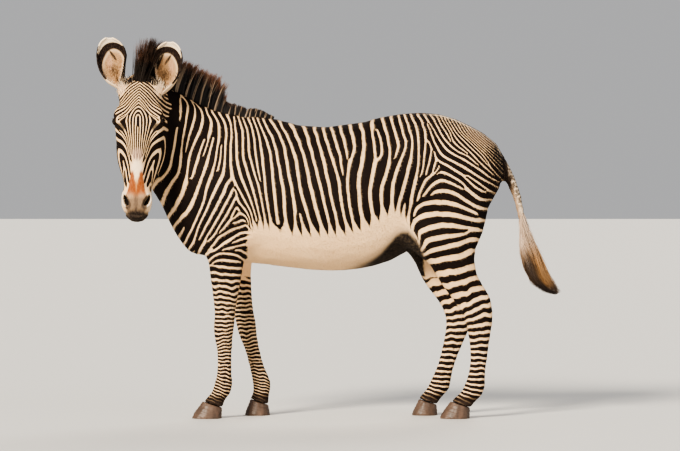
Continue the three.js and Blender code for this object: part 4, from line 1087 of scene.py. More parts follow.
def coat_finish(name):
    """Dark and cream bars from the phase, their edges ruffled like hair, and the patches over them."""
    coat = Finish(name, {"Roughness": 0.72, "Specular IOR Level": 0.2, "Sheen Weight": 0.02,
                         "Sheen Roughness": 0.5})
    sums = coat.sum_of
    ruffle = sums("MULTIPLY", sums("SUBTRACT", coat.grain(170, 3, (1, 1, 0.35)), 0.5), 1.1)
    sway = sums("MULTIPLY", sums("SUBTRACT", coat.grain(16, 2), 0.5), 0.7)
    wave = sums("COSINE", sums("ADD", coat.reading("bar_phase")["Fac"], sway))
    share = coat.reading("cream_share")["Fac"]
    within = sums("MAXIMUM", sums("MINIMUM", share, 1.0), 0.0)
    inside = sums("COSINE", sums("MULTIPLY", within, math.pi))
    beyond = sums("MULTIPLY", sums("SUBTRACT", share, within), 4.0)
    over = sums("SUBTRACT", wave, sums("SUBTRACT", inside, beyond))
    over = sums("ADD", over, sums("MULTIPLY", ruffle, 0.35))
    edge = coat.add("MapRange", {"Value": over, "From Min": -0.13, "From Max": 0.13}).outputs["Result"]
    strands = coat.grain(420, 2, (1, 1, 0.25))
    dark = coat.between(coat.grain(5, 3), *DARK_BARS)
    cream = coat.between(coat.grain(4, 3), *CREAM_BARS)
    cream = coat.between(sums("MULTIPLY", sums("SUBTRACT", strands, 0.35), 1.0), cream, CREAM_STRANDS)
    bars = coat.between(edge, dark, cream)
    patch = coat.reading("patches")
    amount = sums("ADD", patch["Alpha"], sums("MULTIPLY", ruffle, 0.3))
    amount = sums("MULTIPLY", sums("MINIMUM", sums("MAXIMUM", amount, 0), 1),
                  sums("GREATER_THAN", patch["Alpha"], 0.02))
    coat.put(coat.shader, {"Base Color": coat.between(amount, bars, patch["Color"])})
    coat.relief(strands, 0.45, 0.0015)
    return coat.material


hide.data.materials.clear()
hide.data.materials.append(coat_finish("barred_coat"))


# ---- Eyes ---------------------------------------------------------------------------------
# Two wet dark-brown eyeballs with level slit pupils. Each is a ball with its clear front pushed
# out a little, and sits in its socket in the head behind the lids.
PUPIL, IRIS_EDGE, IRIS_MIDDLE = (0.004, 0.003, 0.003), (0.045, 0.022, 0.012), (0.030, 0.014, 0.008)
IRIS_RING, EYE_CORNER, EYE_WHITE = (0.010, 0.006, 0.005), (0.045, 0.028, 0.022), (0.16, 0.09, 0.06)


def eye_finish():
    """Pupil, iris and white as shades out from the middle, under a wet gloss."""
    eye = Finish("wet_brown_eye", {"Roughness": 0.06, "Specular IOR Level": 0.32})
    outwards = eye.add("SeparateXYZ", {0: eye.reading("iris")["Vector"]}).outputs["X"]
    colour = eye.shades(outwards, ((0.0, PUPIL), (0.20, PUPIL), (0.24, IRIS_EDGE), (0.52, IRIS_MIDDLE),
                                   (0.60, IRIS_RING), (0.70, EYE_CORNER), (1.0, EYE_WHITE)))
    eye.put(eye.shader, {"Base Color": colour})
    return eye.material


wet_brown = eye_finish()
for side in HANDS:
    middle, outward, slit, lids = eye_frame(side)
    bpy.ops.mesh.primitive_uv_sphere_add(segments=48, ring_count=32, radius=EYE_RADIUS)
    eye = bpy.context.object
    eye.name = f"eyeball_{side}"
    turn = Matrix((slit, lids, outward)).transposed()
    ball = points_of(eye)
    spread_out = np.arccos(np.clip(ball[:, 2] / EYE_RADIUS, -1, 1))
    bulge = 1 + 0.055 * (1 - ramp(spread_out, 0.35, 0.85))
    iris = np.hypot(ball[:, 0] / 1.7, ball[:, 1]) / EYE_RADIUS
    white = 0.55 + 0.28 * (spread_out - 0.55)
    iris = np.where(spread_out < 0.62, np.where(iris < 0.2, 0.1, 0.24 + 0.5 * spread_out), white)
    put_points(eye, ball * bulge[:, None] @ np.array(turn).T + middle)
    add_values(eye.data, "iris", "FLOAT_VECTOR", "POINT", np.stack([np.clip(iris, 0, 1)] * 3, axis=1))
    eye.data.materials.append(wet_brown)
    only(eye)
    bpy.ops.object.shade_smooth()
    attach(eye, "root")
    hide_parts(f"eye_{side}")


# ---- Ears ---------------------------------------------------------------------------------
# Large round upright cups of skin and gristle, rooted on the skull behind the brow, furred all
# over. Each is a sheet rolled round its own middle line, wider open towards the top, then thickened.
EAR_LENGTH = 0.244
EAR_HALF = 0.0765
EAR_STATIONS = [
    # height, out to the side, towards the brow, half width, half depth, how far the sheet wraps round
    (-0.24, -0.26, -0.10, 0.12, 0.16, 2.9),
    (-0.10, -0.06, -0.04, 0.28, 0.32, 2.8),
    (0.03, 0.08, 0.00, 0.50, 0.48, 2.5),
    (0.15, 0.125, -0.01, 0.68, 0.55, 2.2),
    (0.30, 0.16, -0.01, 0.83, 0.60, 1.98),
    (0.46, 0.18, -0.01, 0.93, 0.58, 1.88),
    (0.64, 0.175, 0.01, 1.00, 0.50, 1.84),
    (0.78, 0.18, 0.03, 0.90, 0.40, 1.82),
    (0.89, 0.19, 0.06, 0.68, 0.30, 1.80),
    (0.955, 0.20, 0.08, 0.44, 0.22, 1.75),
    (0.99, 0.205, 0.09, 0.20, 0.12, 1.6),
]
# Where each ear stands: down, aside and forth from the poll, and how far it leans out.
EAR_FEET = {"right": (0.010, -0.104, -0.098, 1.2), "left": (0.032, 0.097, -0.098, 0.66)}
EAR_THICKNESS = 0.0065


def head_place(down, left, forth):
    """The place so far down, left and forth from the poll."""
    return POLL + down * HEAD_DOWN + left * HEAD_LEFT + forth * HEAD_FORTH


def ear_facing(side):
    """The way the cup opens: forwards and a little out to its own side."""
    facing = HEAD_FORTH + HANDS[side] * 0.18 * HEAD_LEFT
    return facing / np.linalg.norm(facing)


def ear_sheet(side):
    """The ear's middle line, width and wrap at each height, turned into a rolled sheet of points."""
    down, aside, forth, lean = EAR_FEET[side]
    hand, facing = HANDS[side], ear_facing(side)
    rows = np.array(EAR_STATIONS)
    heights = np.linspace(rows[0, 0], rows[-1, 0], 50)
    out, nod, wide, deep, wrap = (np.interp(heights, rows[:, 0], rows[:, k]) for k in range(1, 6))
    for values in (out, nod, wide, deep, wrap):
        values[1:-1] = (values[:-2] + 2 * values[1:-1] + values[2:]) / 4
    turn = np.linspace(-1, 1, 37)[None] * wrap[:, None]
    spine = head_place(down, aside, forth) - np.outer(heights, HEAD_DOWN) * EAR_LENGTH
    spine = spine + np.outer(hand * out * lean * EAR_LENGTH, HEAD_LEFT) + np.outer(nod * EAR_LENGTH, facing)
    places = spine[:, None] + (np.sin(turn) * (wide * EAR_HALF)[:, None])[..., None] * HEAD_LEFT
    places = places - (np.cos(turn) * (deep * EAR_HALF)[:, None])[..., None] * facing
    return heights, turn, places


EAR_DARK = (0.020, 0.012, 0.010)
EAR_WHITE = (0.94, 0.78, 0.58)
EAR_CREAM = (0.80, 0.60, 0.40)
CUP_TAN = (0.41, 0.245, 0.125)
CUP_PINK = (0.66, 0.40, 0.27)
CUP_BAND = (0.022, 0.012, 0.010)
CUP_FRECKLES = (0.085, 0.040, 0.018)
CUP_SLASH = (0.020, 0.011, 0.008)
CUP_STROKE = (0.030, 0.015, 0.009)
BACK_BANDS = (0.030, 0.016, 0.012)
BACK_HEAD_SIDE = (0.024, 0.014, 0.010)


def oval_gap(first, second, middle, half):
    """How far out a place is from an oval's middle, 1 on its edge."""
    return np.hypot((first - middle[0]) / half[0], (second - middle[1]) / half[1])


def cup_marks(colour, inwards, up):
    """The inside: a tan cup with brown freckles and two dark strokes, a dark band round it, a white tip."""
    cup = oval_gap(inwards, up, (0.005, 0.090), (0.063, 0.101))
    painted(colour, CUP_TAN, 0.92 * (1 - ramp(cup, 0.75, 1.10)))
    rosy = oval_gap(inwards, up, (-0.022, 0.12), (0.02, 0.05))
    painted(colour, CUP_PINK, 0.6 * (1 - ramp(rosy, 0.4, 1)))
    low_side = (inwards > 0.0) & (up < 0.125)
    painted(colour, CUP_BAND, ramp(cup, 0.97, 1.06) * ~low_side * ramp(up, 0.004, 0.020))
    freckles = np.sin(inwards * 760 + 2.2 * np.sin(up * 230)) * np.sin(up * 640 + 2 * np.sin(inwards * 310))
    freckles = freckles + 0.4 * np.sin(up * 1250 + inwards * 900)
    upper = oval_gap(inwards, up, (-0.002, 0.084), (0.036, 0.044))
    lower = oval_gap(inwards, up, (0.003, 0.036), (0.011, 0.040))
    cluster = np.maximum(1 - ramp(upper, 0.35, 1.0), 1 - ramp(lower, 0.35, 1.0))
    painted(colour, CUP_FRECKLES, 0.9 * cluster * ramp(freckles + 0.5 * cluster, 0.1, 0.5))
    slash = np.hypot(((inwards + 0.005) + (up - 0.163) * 0.62) / 0.0085, (up - 0.160) / 0.027)
    painted(colour, CUP_SLASH, 0.95 * (1 - ramp(slash, 0.7, 1.1)))
    stroke = oval_gap(inwards, up, (0.004, 0.040), (0.006, 0.022))
    painted(colour, CUP_STROKE, 0.85 * (1 - ramp(stroke, 0.5, 1.1)))
    tip = ramp(np.hypot(inwards - 0.008, (up - 0.140) * 0.98), 0.0805, 0.0835) * ramp(up, 0.158, 0.164)
    painted(colour, EAR_WHITE, tip)


def ear_back_marks(colour, heights, towards_head, outward, rim):
    """The back: a broad dark band, two narrow ones, a dark rim and inner side, a white tip."""
    painted(colour, EAR_DARK, ramp(heights, 0.50, 0.56) * (1 - ramp(heights, 0.78, 0.84)))
    for height in (0.24, 0.37):
        painted(colour, BACK_BANDS, 0.85 * (1 - ramp(np.abs(heights - height), 0.022, 0.034)))
    painted(colour, EAR_DARK, (1 - ramp(rim, 0.010, 0.018)) * (heights < 0.82) * (heights > 0.1))
    head_side = ramp(towards_head, 0.30, 0.62) * (1 - ramp(heights - 0.25 * towards_head, 0.30, 0.40))
    painted(colour, BACK_HEAD_SIDE, 0.95 * head_side)
    painted(colour, EAR_WHITE, ramp(heights - 0.16 * np.maximum(-outward, 0), 0.79, 0.84))


def ear_paint(heights, turn, wrap_edge, hand, inner):
    """Cream fur, with the marks of the cup or of the back over it."""
    colour = np.zeros((len(heights), 4))
    painted(colour, EAR_CREAM, np.ones(len(heights)))
    outward = np.sin(np.clip(turn, -math.pi / 2, math.pi / 2)) * hand
    if inner:
        wide = np.interp(heights, [row[0] for row in EAR_STATIONS], [row[3] for row in EAR_STATIONS])
        cup_marks(colour, -outward * wide * EAR_HALF, heights * EAR_LENGTH)
    else:
        rim = np.clip((wrap_edge - np.abs(turn)) * 0.055, 0, 1)
        ear_back_marks(colour, heights, -turn * hand, outward, rim)
    return colour


hide_tree = BVHTree.FromPolygons([Vector(point) for point in points_of(hide)],
                                 [tuple(face.vertices) for face in hide.data.polygons])
for side in HANDS:
    heights, turn, places = ear_sheet(side)
    rows, columns = turn.shape
    bpy.ops.mesh.primitive_grid_add(x_subdivisions=columns - 1, y_subdivisions=rows - 1, size=2)
    ear = bpy.context.object
    ear.name = f"ear_cup_{side}"
    flat = points_of(ear)
    column = columns - 1 - np.round((flat[:, 0] + 1) / 2 * (columns - 1)).astype(int)
    row = np.round((flat[:, 1] + 1) / 2 * (rows - 1)).astype(int)
    put_points(ear, places[row, column])
    for name, values in (("height", heights[row]), ("turn", turn[row, column]), ("wrap", turn[row, -1])):
        add_values(ear.data, name, "FLOAT", "POINT", values)
    applied(ear, "SOLIDIFY", thickness=EAR_THICKNESS, offset=-1)
    add_values(ear.data, "inner", "FLOAT", "POINT", np.arange(len(ear.data.vertices)) >= rows * columns)
    applied(ear, "SUBSURF", levels=1, render_levels=1)
    read = []
    for name in ("height", "turn", "wrap", "inner"):
        read.append(read_all(ear.data.attributes[name].data, "value"))
        ear.data.attributes.remove(ear.data.attributes[name])
    outside, inside = (ear_paint(*read[:3], HANDS[side], inner) for inner in (False, True))
    patches = np.where(read[3][:, None] > 0.5, inside, outside)
    add_values(ear.data, "bar_phase", "FLOAT", "POINT", np.zeros(len(patches)))
    add_values(ear.data, "cream_share", "FLOAT", "POINT", np.ones(len(patches)))
    add_values(ear.data, "patches", "FLOAT_COLOR", "POINT", patches)
    ear.data.materials.append(hide.data.materials[0])
    only(ear)
    bpy.ops.object.shade_smooth()
    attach(ear, "root")
    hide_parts(f"ear_{side}")


# ---- Hooves -------------------------------------------------------------------------------
# Horn hooves, one on each leg: a sloping wall with fine growth rings and a flat sole. Each is
# taken from its solid, made finer, and its wall pressed in along the rings.
HORN_DARK, HORN_PALE, HORN_RINGS = (0.045, 0.028, 0.021), (0.175, 0.102, 0.068), (0.13, 0.085, 0.06)


def horn_finish():
    """Grey-brown horn, streaked down the wall and clouded along the rings."""
    horn = Finish("ringed_horn", {"Roughness": 0.48})
    streaks = horn.shades(horn.grain(9, 4, (4, 4, 1)), ((0.32, HORN_DARK), (0.70, HORN_PALE)))
    rings = horn.between(horn.grain(40, 4, (0.3, 0.3, 3)), streaks, HORN_RINGS)
    horn.put(horn.shader, {"Base Color": rings})
    horn.relief(horn.grain(60, 4, (2, 2, 0.25)), 0.4, 0.0008)
    return horn.material


ringed_horn = horn_finish()
FINE_RING, BROAD_RING = 0.0068, 0.019
for leg in LEG_NAMES:
    node = leg.replace("leg", "hoof")
    hoof = merged_copy(node, f"horn_{node}")
    applied(hoof, "REMESH", mode="VOXEL", voxel_size=0.0035)
    relaxed(hoof, 10)
    places, outward = points_of(hoof), normals_of(hoof)
    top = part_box(node)[1][2]
    wall = ramp(places[:, 2], 0.003, 0.010) * (1 - ramp(places[:, 2], top - 0.006, top))
    slope = places[:, 2] + 0.30 * (places[:, 0] - box_middle(node)[0])
    rings = 0.00055 * np.sin(slope * 2 * math.pi / FINE_RING)
    rings = rings + 0.0007 * np.sin(slope * 2 * math.pi / BROAD_RING)
    places = places + outward * (rings * wall)[:, None]
    places[:, 2] = np.where(places[:, 2] < 0.0025, 0.0002, places[:, 2])
    put_points(hoof, places)
    hoof.data.materials.append(ringed_horn)
    only(hoof)
    bpy.ops.object.shade_smooth_by_angle(angle=0.9)
    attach(hoof, "root")
    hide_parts(node)


# ---- Mane ---------------------------------------------------------------------------------
# A stiff upright brush of coarse hair along the crest of the neck, from a forelock between the
# ears to the withers. Tapering three-sided locks rooted in the skin, barred like the neck below.
HAIR_SIDES = 3


def unit(rows):
    """Directions made one long."""
    return rows / np.linalg.norm(rows, axis=-1, keepdims=True)


def on_skin(places):
    """The nearest place on the hide to each of these."""
    return np.array([hide_tree.find_nearest(Vector(place))[0] for place in places])


def lock_pattern(stations):
    """One straight lock of unit length and width, modelled once: its points and faces."""
    bpy.ops.mesh.primitive_cylinder_add(vertices=HAIR_SIDES, radius=1, depth=1, location=(0, 0, 0.5))
    pattern = bpy.context.object
    bpy.ops.object.transform_apply(location=True)
    shape = bmesh.new()
    shape.from_mesh(pattern.data)
    for level in np.linspace(0, 1, stations)[1:-1]:
        bmesh.ops.bisect_plane(shape, geom=shape.verts[:] + shape.edges[:] + shape.faces[:],
                               plane_co=(0, 0, level), plane_no=(0, 0, 1))
    shape.to_mesh(pattern.data)
    shape.free()
    places = points_of(pattern)
    faces = [tuple(face.vertices) for face in pattern.data.polygons]
    bpy.data.objects.remove(pattern)
    return places, faces


def lock_mesh(name, paths, across, widths, flatness=0.55, tip=0.08):
    """Many locks as one mesh. Each follows its own path, flat side across, tapering to its tip."""
    count, stations, _ = paths.shape
    places, faces = lock_pattern(stations)
    station = np.round(places[:, 2] * (stations - 1)).astype(int)
    along = unit(np.gradient(paths, axis=1))
    thick = np.cross(along, across[:, None])
    thick /= np.maximum(np.linalg.norm(thick, axis=2, keepdims=True), 1e-9)
    wide = np.cross(thick, along)
    step = np.linspace(0, 1, stations)
    taper = np.minimum(1, 0.55 + 3.0 * step) * (1 - (1 - tip) * step ** 1.7)
    half = widths[:, None, None] * taper[None, station, None] / 2
    points = paths[:, station] + half * (places[None, :, 0, None] * wide[:, station] +
                                         flatness * places[None, :, 1, None] * thick[:, station])
    mesh = bpy.data.meshes.new(name)
    shift = np.arange(count)[:, None] * len(places)
    corners = [[(shift + np.array(face)[None]) for face in faces if len(face) == size] for size in (3, 4)]
    listed = [row for group in corners for block in group for row in block.tolist()]
    mesh.from_pydata(points.reshape(-1, 3), [], listed)
    piece = bpy.data.objects.new(name, mesh)
    bpy.context.scene.collection.objects.link(piece)
    return piece, step[station]


def hair_finish(name, roughness):
    """Each lock in its own colour, a little lighter and darker along it."""
    hair = Finish(name, {"Roughness": roughness})
    level = hair.add("MapRange", {"Value": hair.grain(220, 2), "To Min": 0.65, "To Max": 1.35})
    own_colour = hair.reading("hair_colour")["Color"]
    scaled = hair.add("VectorMath", {0: own_colour, "Scale": level.outputs["Result"]}, operation="SCALE")
    hair.put(hair.shader, {"Base Color": scaled.outputs["Vector"]})
    return hair.material


def coloured(piece, colour, finish_name, roughness):
    """Stores the colour of every point of a piece of hair, and gives it its finish."""
    colour = np.concatenate([colour, np.ones_like(colour[..., :1])], axis=2)
    add_values(piece.data, "hair_colour", "FLOAT_COLOR", "POINT", colour)
    piece.data.materials.append(hair_finish(finish_name, roughness))


def blended(under, over, share):
    """Mixes one colour over another."""
    return under * (1 - share) + over * share


# The line the hair is rooted on: down, aside and forth from the poll, then along the neck as
# (distance along the body, aside, height); and how tall the hair stands at each of its places.
CREST_POLL = [(0.004, 0.0, -0.040), (-0.006, 0.0, -0.070), (-0.016, 0.0, -0.112)]
CREST_BACK = [(-0.8635, -0.1320, 1.672), (-0.7775, -0.0620, 1.636), (-0.6755, -0.0220, 1.594),
              (-0.6275, -0.0120, 1.580), (-0.5915, -0.0060, 1.569), (-0.5615, -0.0030, 1.559),
              (-0.5435, -0.0015, 1.554), (-0.5315, -0.0010, 1.550), (-0.5055, 0.0, 1.542),
              (-0.4355, 0.0, 1.521), (-0.3555, 0.0, 1.500), (-0.2755, 0.0, 1.478)]
HAIR_HEIGHTS = [0.118, 0.145, 0.178, 0.190, 0.178, 0.176, 0.176, 0.170, 0.156, 0.140, 0.074, 0.060, 0.052,
                0.042, 0.016]
MANE_LOCKS = 5200
MANE_DARK = (0.012, 0.008, 0.007)
# The mane's cream bars are painted dim, as painted shade: a greyish tan far darker than the coat's cream.
MANE_CREAM_IN_SHADE = (0.31, 0.225, 0.155)
MANE_TIP_BROWN = (0.20, 0.075, 0.032)
ROOT_DEPTH = 0.006
dice = np.random.default_rng(7)
crest = np.array([head_place(*place) for place in CREST_POLL] +
                 [(x, MIDDLE_Y + aside, z) for x, aside, z in CREST_BACK])
reach = np.concatenate([[0], np.cumsum(np.linalg.norm(np.diff(crest, axis=0), axis=1))])


def on_crest(distance):
    """The place on the crest so far along it."""
    return np.stack([np.interp(distance, reach, crest[:, axis]) for axis in range(3)], axis=1)


travel = dice.random(MANE_LOCKS) ** 1.15 * reach[-1]
line = unit(on_crest(travel + 0.02) - on_crest(travel - 0.02))
height = np.interp(travel, reach, HAIR_HEIGHTS)
upward = np.array([0.17, 0.0, 0.98])
sideways = unit(np.cross(line, upward))
aside = dice.normal(0, 0.42, MANE_LOCKS).clip(-1, 1)
clump = np.floor(travel / 0.014) * 7 + np.floor(aside * 2.5)
clump_dice = np.random.default_rng(11)
clump_names, clump_of = np.unique(clump, return_inverse=True)
clump_lean = clump_dice.normal(0, 1, (len(clump_names), 3))[clump_of]
half_base = 0.011 + 0.012 * np.clip(height / 0.2, 0, 1) + 0.014 * (1 - ramp(travel, 0.03, 0.10))
start = on_skin(on_crest(travel) + sideways * (aside * half_base)[:, None]) - upward * ROOT_DEPTH
length = height * (0.955 + 0.035 * clump_lean[:, 2] + dice.normal(0, 0.03, MANE_LOCKS)) + ROOT_DEPTH
length = np.clip(length, 0.012, height * 1.06 + ROOT_DEPTH)
tip_way = upward + sideways * (aside * 0.16 + 0.03 * clump_lean[:, 1])[:, None]
tip_way = tip_way + line * (0.05 * clump_lean[:, 0])[:, None]
tip_way = unit(tip_way + dice.normal(0, 0.022, (MANE_LOCKS, 3)))
droop = line * (0.10 * length * (1 + 0.4 * clump_lean[:, 0]))[:, None]
steps = np.linspace(0, 1, 6)
paths = start[:, None] + tip_way[:, None] * (length[:, None] * steps)[..., None]
paths = paths + droop[:, None] * (steps ** 2.2)[None, :, None]
widths = 0.0030 + 0.0022 * dice.random(MANE_LOCKS)
mane, along = lock_mesh("mane_hair", paths, line, widths)
phase = body_field.at(start[:, 0] - 0.02, start[:, 2] - 0.03)[0]
cream = ramp(np.cos(phase) - math.cos(0.24 * math.pi), -0.15, 0.15) * (travel > 0.16) + 0.06 * (travel < 0.16)
root_colour = np.outer(1 - cream, MANE_DARK) + np.outer(cream, MANE_CREAM_IN_SHADE)
tip_colour = np.array(MANE_TIP_BROWN) * (0.6 + 0.8 * dice.random(MANE_LOCKS))[:, None]
tipped = ramp(along[None], 0.56 + 0.32 * dice.random(MANE_LOCKS)[:, None], 1.0)
tipped = tipped * (0.9 * ramp(height, 0.03, 0.12))[:, None]
tipped = tipped * (1 - 0.65 * ramp(aside, -0.45, 0.1) * (1 - ramp(travel, 0.10, 0.14)))[:, None]
colour = blended(root_colour[:, None], tip_colour[:, None], tipped[..., None])
coloured(mane, colour, "mane_coarse_hair", 0.62)
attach(mane, "root")
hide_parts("mane")


# ---- Tail tuft ----------------------------------------------------------------------------
# A long brush of hair over the lower dock, pale at its root and dark at its tip, swept back.
# Tapering locks rooted round the dock, each following the tuft's curve.

# The tuft's middle line, as distance along the body and height, and its half width at each place.
TUFT_LINE = [(0.944, 1.085), (0.9555, 1.05), (0.9645, 1.02), (0.9805, 0.930), (0.9965, 0.850),
             (1.0225, 0.770), (1.0625, 0.690), (1.1185, 0.636), (1.1515, 0.618)]
TUFT_HALF = [0.012, 0.016, 0.020, 0.033, 0.047, 0.054, 0.048, 0.030, 0.014]
TUFT_LOCKS = 1900
TUFT_CLUMPS = 14
TUFT_PALE = (0.58, 0.44, 0.33)
TUFT_EDGE_BROWN = (0.34, 0.22, 0.15)
TUFT_GOLD = (0.42, 0.235, 0.105)
TUFT_DARK = (0.028, 0.016, 0.011)
tuft_places = np.array(TUFT_LINE)
tuft_reach = np.concatenate([[0], np.cumsum(np.linalg.norm(np.diff(tuft_places, axis=0), axis=1))])
tuft_reach /= tuft_reach[-1]


def on_tuft(share):
    """The tuft's middle at a share of its length, and its half width there."""
    x = np.interp(share, tuft_reach, tuft_places[:, 0])
    z = np.interp(share, tuft_reach, tuft_places[:, 1])
    return np.stack([x, np.full_like(x, MIDDLE_Y), z], axis=-1), np.interp(share, tuft_reach, TUFT_HALF)


dice = np.random.default_rng(23)
begin = dice.random(TUFT_LOCKS) ** 0.8 * 0.52
finish_at = np.clip(begin + 0.30 + 0.45 * dice.random(TUFT_LOCKS), 0, 1)
finish_at = np.where(dice.random(TUFT_LOCKS) < 0.45, 0.78 + 0.22 * dice.random(TUFT_LOCKS), finish_at)
around = dice.random(TUFT_LOCKS) * 2 * math.pi
depth = 0.35 + 0.62 * np.sqrt(dice.random(TUFT_LOCKS))
steps = np.linspace(0, 1, 8)
share_along = begin[:, None] + (finish_at - begin)[:, None] * steps
middle_line, half_wide = on_tuft(share_along)
out_now = half_wide * depth[:, None] * np.minimum(1, 0.35 + steps * 1.6)
own_clump = (around / (2 * math.pi) * TUFT_CLUMPS).astype(int)
clump = np.random.default_rng(29).normal(0, 1, (TUFT_CLUMPS, 3, 2))
clump = clump[own_clump, (depth * 3).astype(int).clip(0, 2)]
spread = 1 + (dice.normal(-0.12, 0.24, TUFT_LOCKS) + 0.34 * clump[:, 0])[:, None] * steps[None] ** 3
out_now = out_now * spread.clip(0.1, 1.45)
sway = around[:, None] + 0.35 * np.sin(share_along * 6 + around[:, None]) + 0.22 * clump[:, 1, None] * steps
across_way = np.array([0.86, 0.0, 0.5])
ring = np.cos(sway)[..., None] * across_way + np.sin(sway)[..., None] * np.array([0, 1.0, 0])
paths = middle_line + out_now[..., None] * ring
facing = np.stack([-np.sin(around) * 0.86, np.cos(around), -np.sin(around) * 0.5], axis=1)
widths = 0.0026 + 0.0018 * dice.random(TUFT_LOCKS)
tuft, along = lock_mesh("tail_hair", paths, facing, widths)
place_now = begin[:, None] + (finish_at - begin)[:, None] * along[None]
under = ramp(-np.cos(around), -0.2, 0.7)[:, None]
dark = ramp(place_now, 0.80, 0.93) * 0.9 + under * ramp(place_now, 0.40, 0.62) * 0.9
stray_dark = 0.9 * (dice.random(TUFT_LOCKS)[:, None] < 0.16) * ramp(place_now, 0.4, 0.6)
dark = np.clip(dark + stray_dark, 0, 1)[..., None]
golden = ramp(place_now, 0.36, 0.62)[..., None]
pale = np.array(TUFT_PALE) * (0.75 + 0.4 * dice.random(TUFT_LOCKS))[:, None]
edge_brown = (np.abs(np.cos(around)) ** 2 * 0.5)[:, None, None]
colour = blended(pale[:, None], np.array(TUFT_EDGE_BROWN), edge_brown)
colour = blended(colour, np.array(TUFT_GOLD), golden)
colour = blended(colour, np.array(TUFT_DARK), dark)
coloured(tuft, colour, "tail_long_hair", 0.55)
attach(tuft, "root")
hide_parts("tail_tuft")


# ---- Ear fur, eyelashes and whiskers ------------------------------------------------------
# Longer soft hair along the front edges and foot of each ear, a dark fringe over the poll,
# lashes on the upper lids and whiskers on the chin. Tapering locks rooted in skin, one piece.
EDGE_CREAM, EDGE_DARK = (0.80, 0.62, 0.44), (0.030, 0.016, 0.012)
CUP_FUR_BROWN, CUP_FUR_TAN = (0.050, 0.024, 0.012), (0.50, 0.30, 0.15)
FOOT_CREAM, FOOT_DARK = (0.84, 0.68, 0.50), (0.030, 0.018, 0.013)
LASH_BLACK, FRINGE_BROWN, WHISKER_GREY = (0.012, 0.008, 0.007), (0.026, 0.014, 0.010), (0.035, 0.025, 0.020)
dice = np.random.default_rng(57)
fine_paths, fine_across, fine_widths, fine_colours = [], [], [], []


def sprout(starts, ways, bends, lengths, wide, colour):
    """Adds curved locks, their lengths within a range, that start one way and bend another."""
    lengths = dice.uniform(*lengths, len(starts))
    bends = np.broadcast_to(bends, ways.shape)
    steps = np.linspace(0, 1, 4)
    paths = starts[:, None] + (lengths[:, None] * steps)[..., None] * ways[:, None]
    fine_paths.append(paths + (lengths[:, None] * steps ** 2)[..., None] * bends[:, None])
    fine_across.append(unit(np.cross(ways, dice.normal(0, 1, ways.shape))))
    fine_widths.append(np.full(len(starts), wide) * dice.uniform(0.7, 1.3, len(starts)))
    shades = np.array(colour)[None] * dice.uniform(0.75, 1.2, (len(starts), 1))
    fine_colours.append(shades.clip(0, 1))


for side, hand in HANDS.items():
    # Along the ear's front edges: cream towards the head, and cream below dark on the outer one.
    heights, turn, places = ear_sheet(side)
    inner_edge, outer_edge = (0, -1) if side == "left" else (-1, 0)
    for edge, low_end, high_end, count, colour in ((inner_edge, 0.02, 0.50, 230, EDGE_CREAM),
                                                   (outer_edge, -0.05, 0.10, 60, EDGE_CREAM),
                                                   (outer_edge, 0.12, 0.70, 150, EDGE_DARK)):
        wanted = dice.uniform(low_end, high_end, count)
        row = np.interp(wanted, heights, np.arange(len(heights)))
        near, part = np.floor(row).astype(int), (row % 1)[:, None]
        inset = dice.integers(0, 6, count) * (1 if edge == 0 else -1)
        column = edge % turn.shape[1] + inset
        starts = places[near, column] * (1 - part) + places[near + 1, column] * part
        inward = unit(places[near, turn.shape[1] // 2] - starts)
        ways = -0.75 * HEAD_DOWN + 0.45 * inward + 0.35 * HEAD_FORTH + dice.normal(0, 0.14, (count, 3))
        sprout(starts, unit(ways), 0.25 * inward, (0.009, 0.026), 0.0016, colour)
    # Short fur inside the cup, brown in the middle and tan round it.
    count = 900
    row = dice.integers(np.searchsorted(heights, 0.04), np.searchsorted(heights, 0.72), count)
    column = dice.integers(11, 26, count)
    round_cup = turn[row, column][:, None]
    inward = np.cos(round_cup) * ear_facing(side) - np.sin(round_cup) * HEAD_LEFT
    inner_side, up = -np.sin(turn[row, column]) * hand * EAR_HALF, heights[row] * EAR_LENGTH
    in_cup = oval_gap(inner_side, up, (0.005, 0.088), (0.055, 0.085)) < 1
    starts = places[row, column] + 0.0062 * inward + dice.normal(0, 0.001, (count, 3))
    ways = unit(-0.85 * HEAD_DOWN + 0.30 * inward + dice.normal(0, 0.12, (count, 3)))
    brown = oval_gap(inner_side, up, (-0.002, 0.076), (0.032, 0.042)) < dice.uniform(0, 1.15, count)
    for chosen, colour in ((brown & in_cup, CUP_FUR_BROWN), (~brown & in_cup, CUP_FUR_TAN)):
        sprout(starts[chosen], ways[chosen], 0.10 * inward[chosen], (0.008, 0.016), 0.0011, colour)
    # Thick fur round the ear's foot, cream before it and dark behind.
    count = 260
    foot = head_place(0.030, hand * 0.088, -0.092)
    starts = on_skin(foot + dice.normal(0, 1, (count, 3)) * 0.022)
    ways = unit(-0.9 * HEAD_DOWN + hand * 0.35 * HEAD_LEFT + dice.normal(0, 0.20, (count, 3)))
    before = (starts - foot) @ HEAD_FORTH > -0.004
    for chosen, colour in ((before, FOOT_CREAM), (~before, FOOT_DARK)):
        sprout(starts[chosen], ways[chosen], 0.2 * HEAD_FORTH, (0.016, 0.030), 0.0021, colour)
    # Lashes on the edge of the upper lid.
    middle, outward, slit, lids = eye_frame(side)
    count = 46
    along = dice.uniform(-0.9, 0.9, count) * SLIT_HALF
    over = lid_edge(along) * np.sqrt(1 - (along / SLIT_HALF) ** 2)
    high = np.sqrt(LID_RADIUS ** 2 - along ** 2 - over ** 2)
    starts = middle + np.outer(along, slit) + np.outer(over, lids) + np.outer(high - 0.0005, outward)
    ways = outward * 0.85 + 0.18 * lids + np.outer(along / SLIT_HALF * 0.3, slit)
    ways = ways + dice.normal(0, 0.06, (count, 3))
    sprout(starts, ways, -0.35 * lids, (0.007, 0.012), 0.0006, LASH_BLACK)
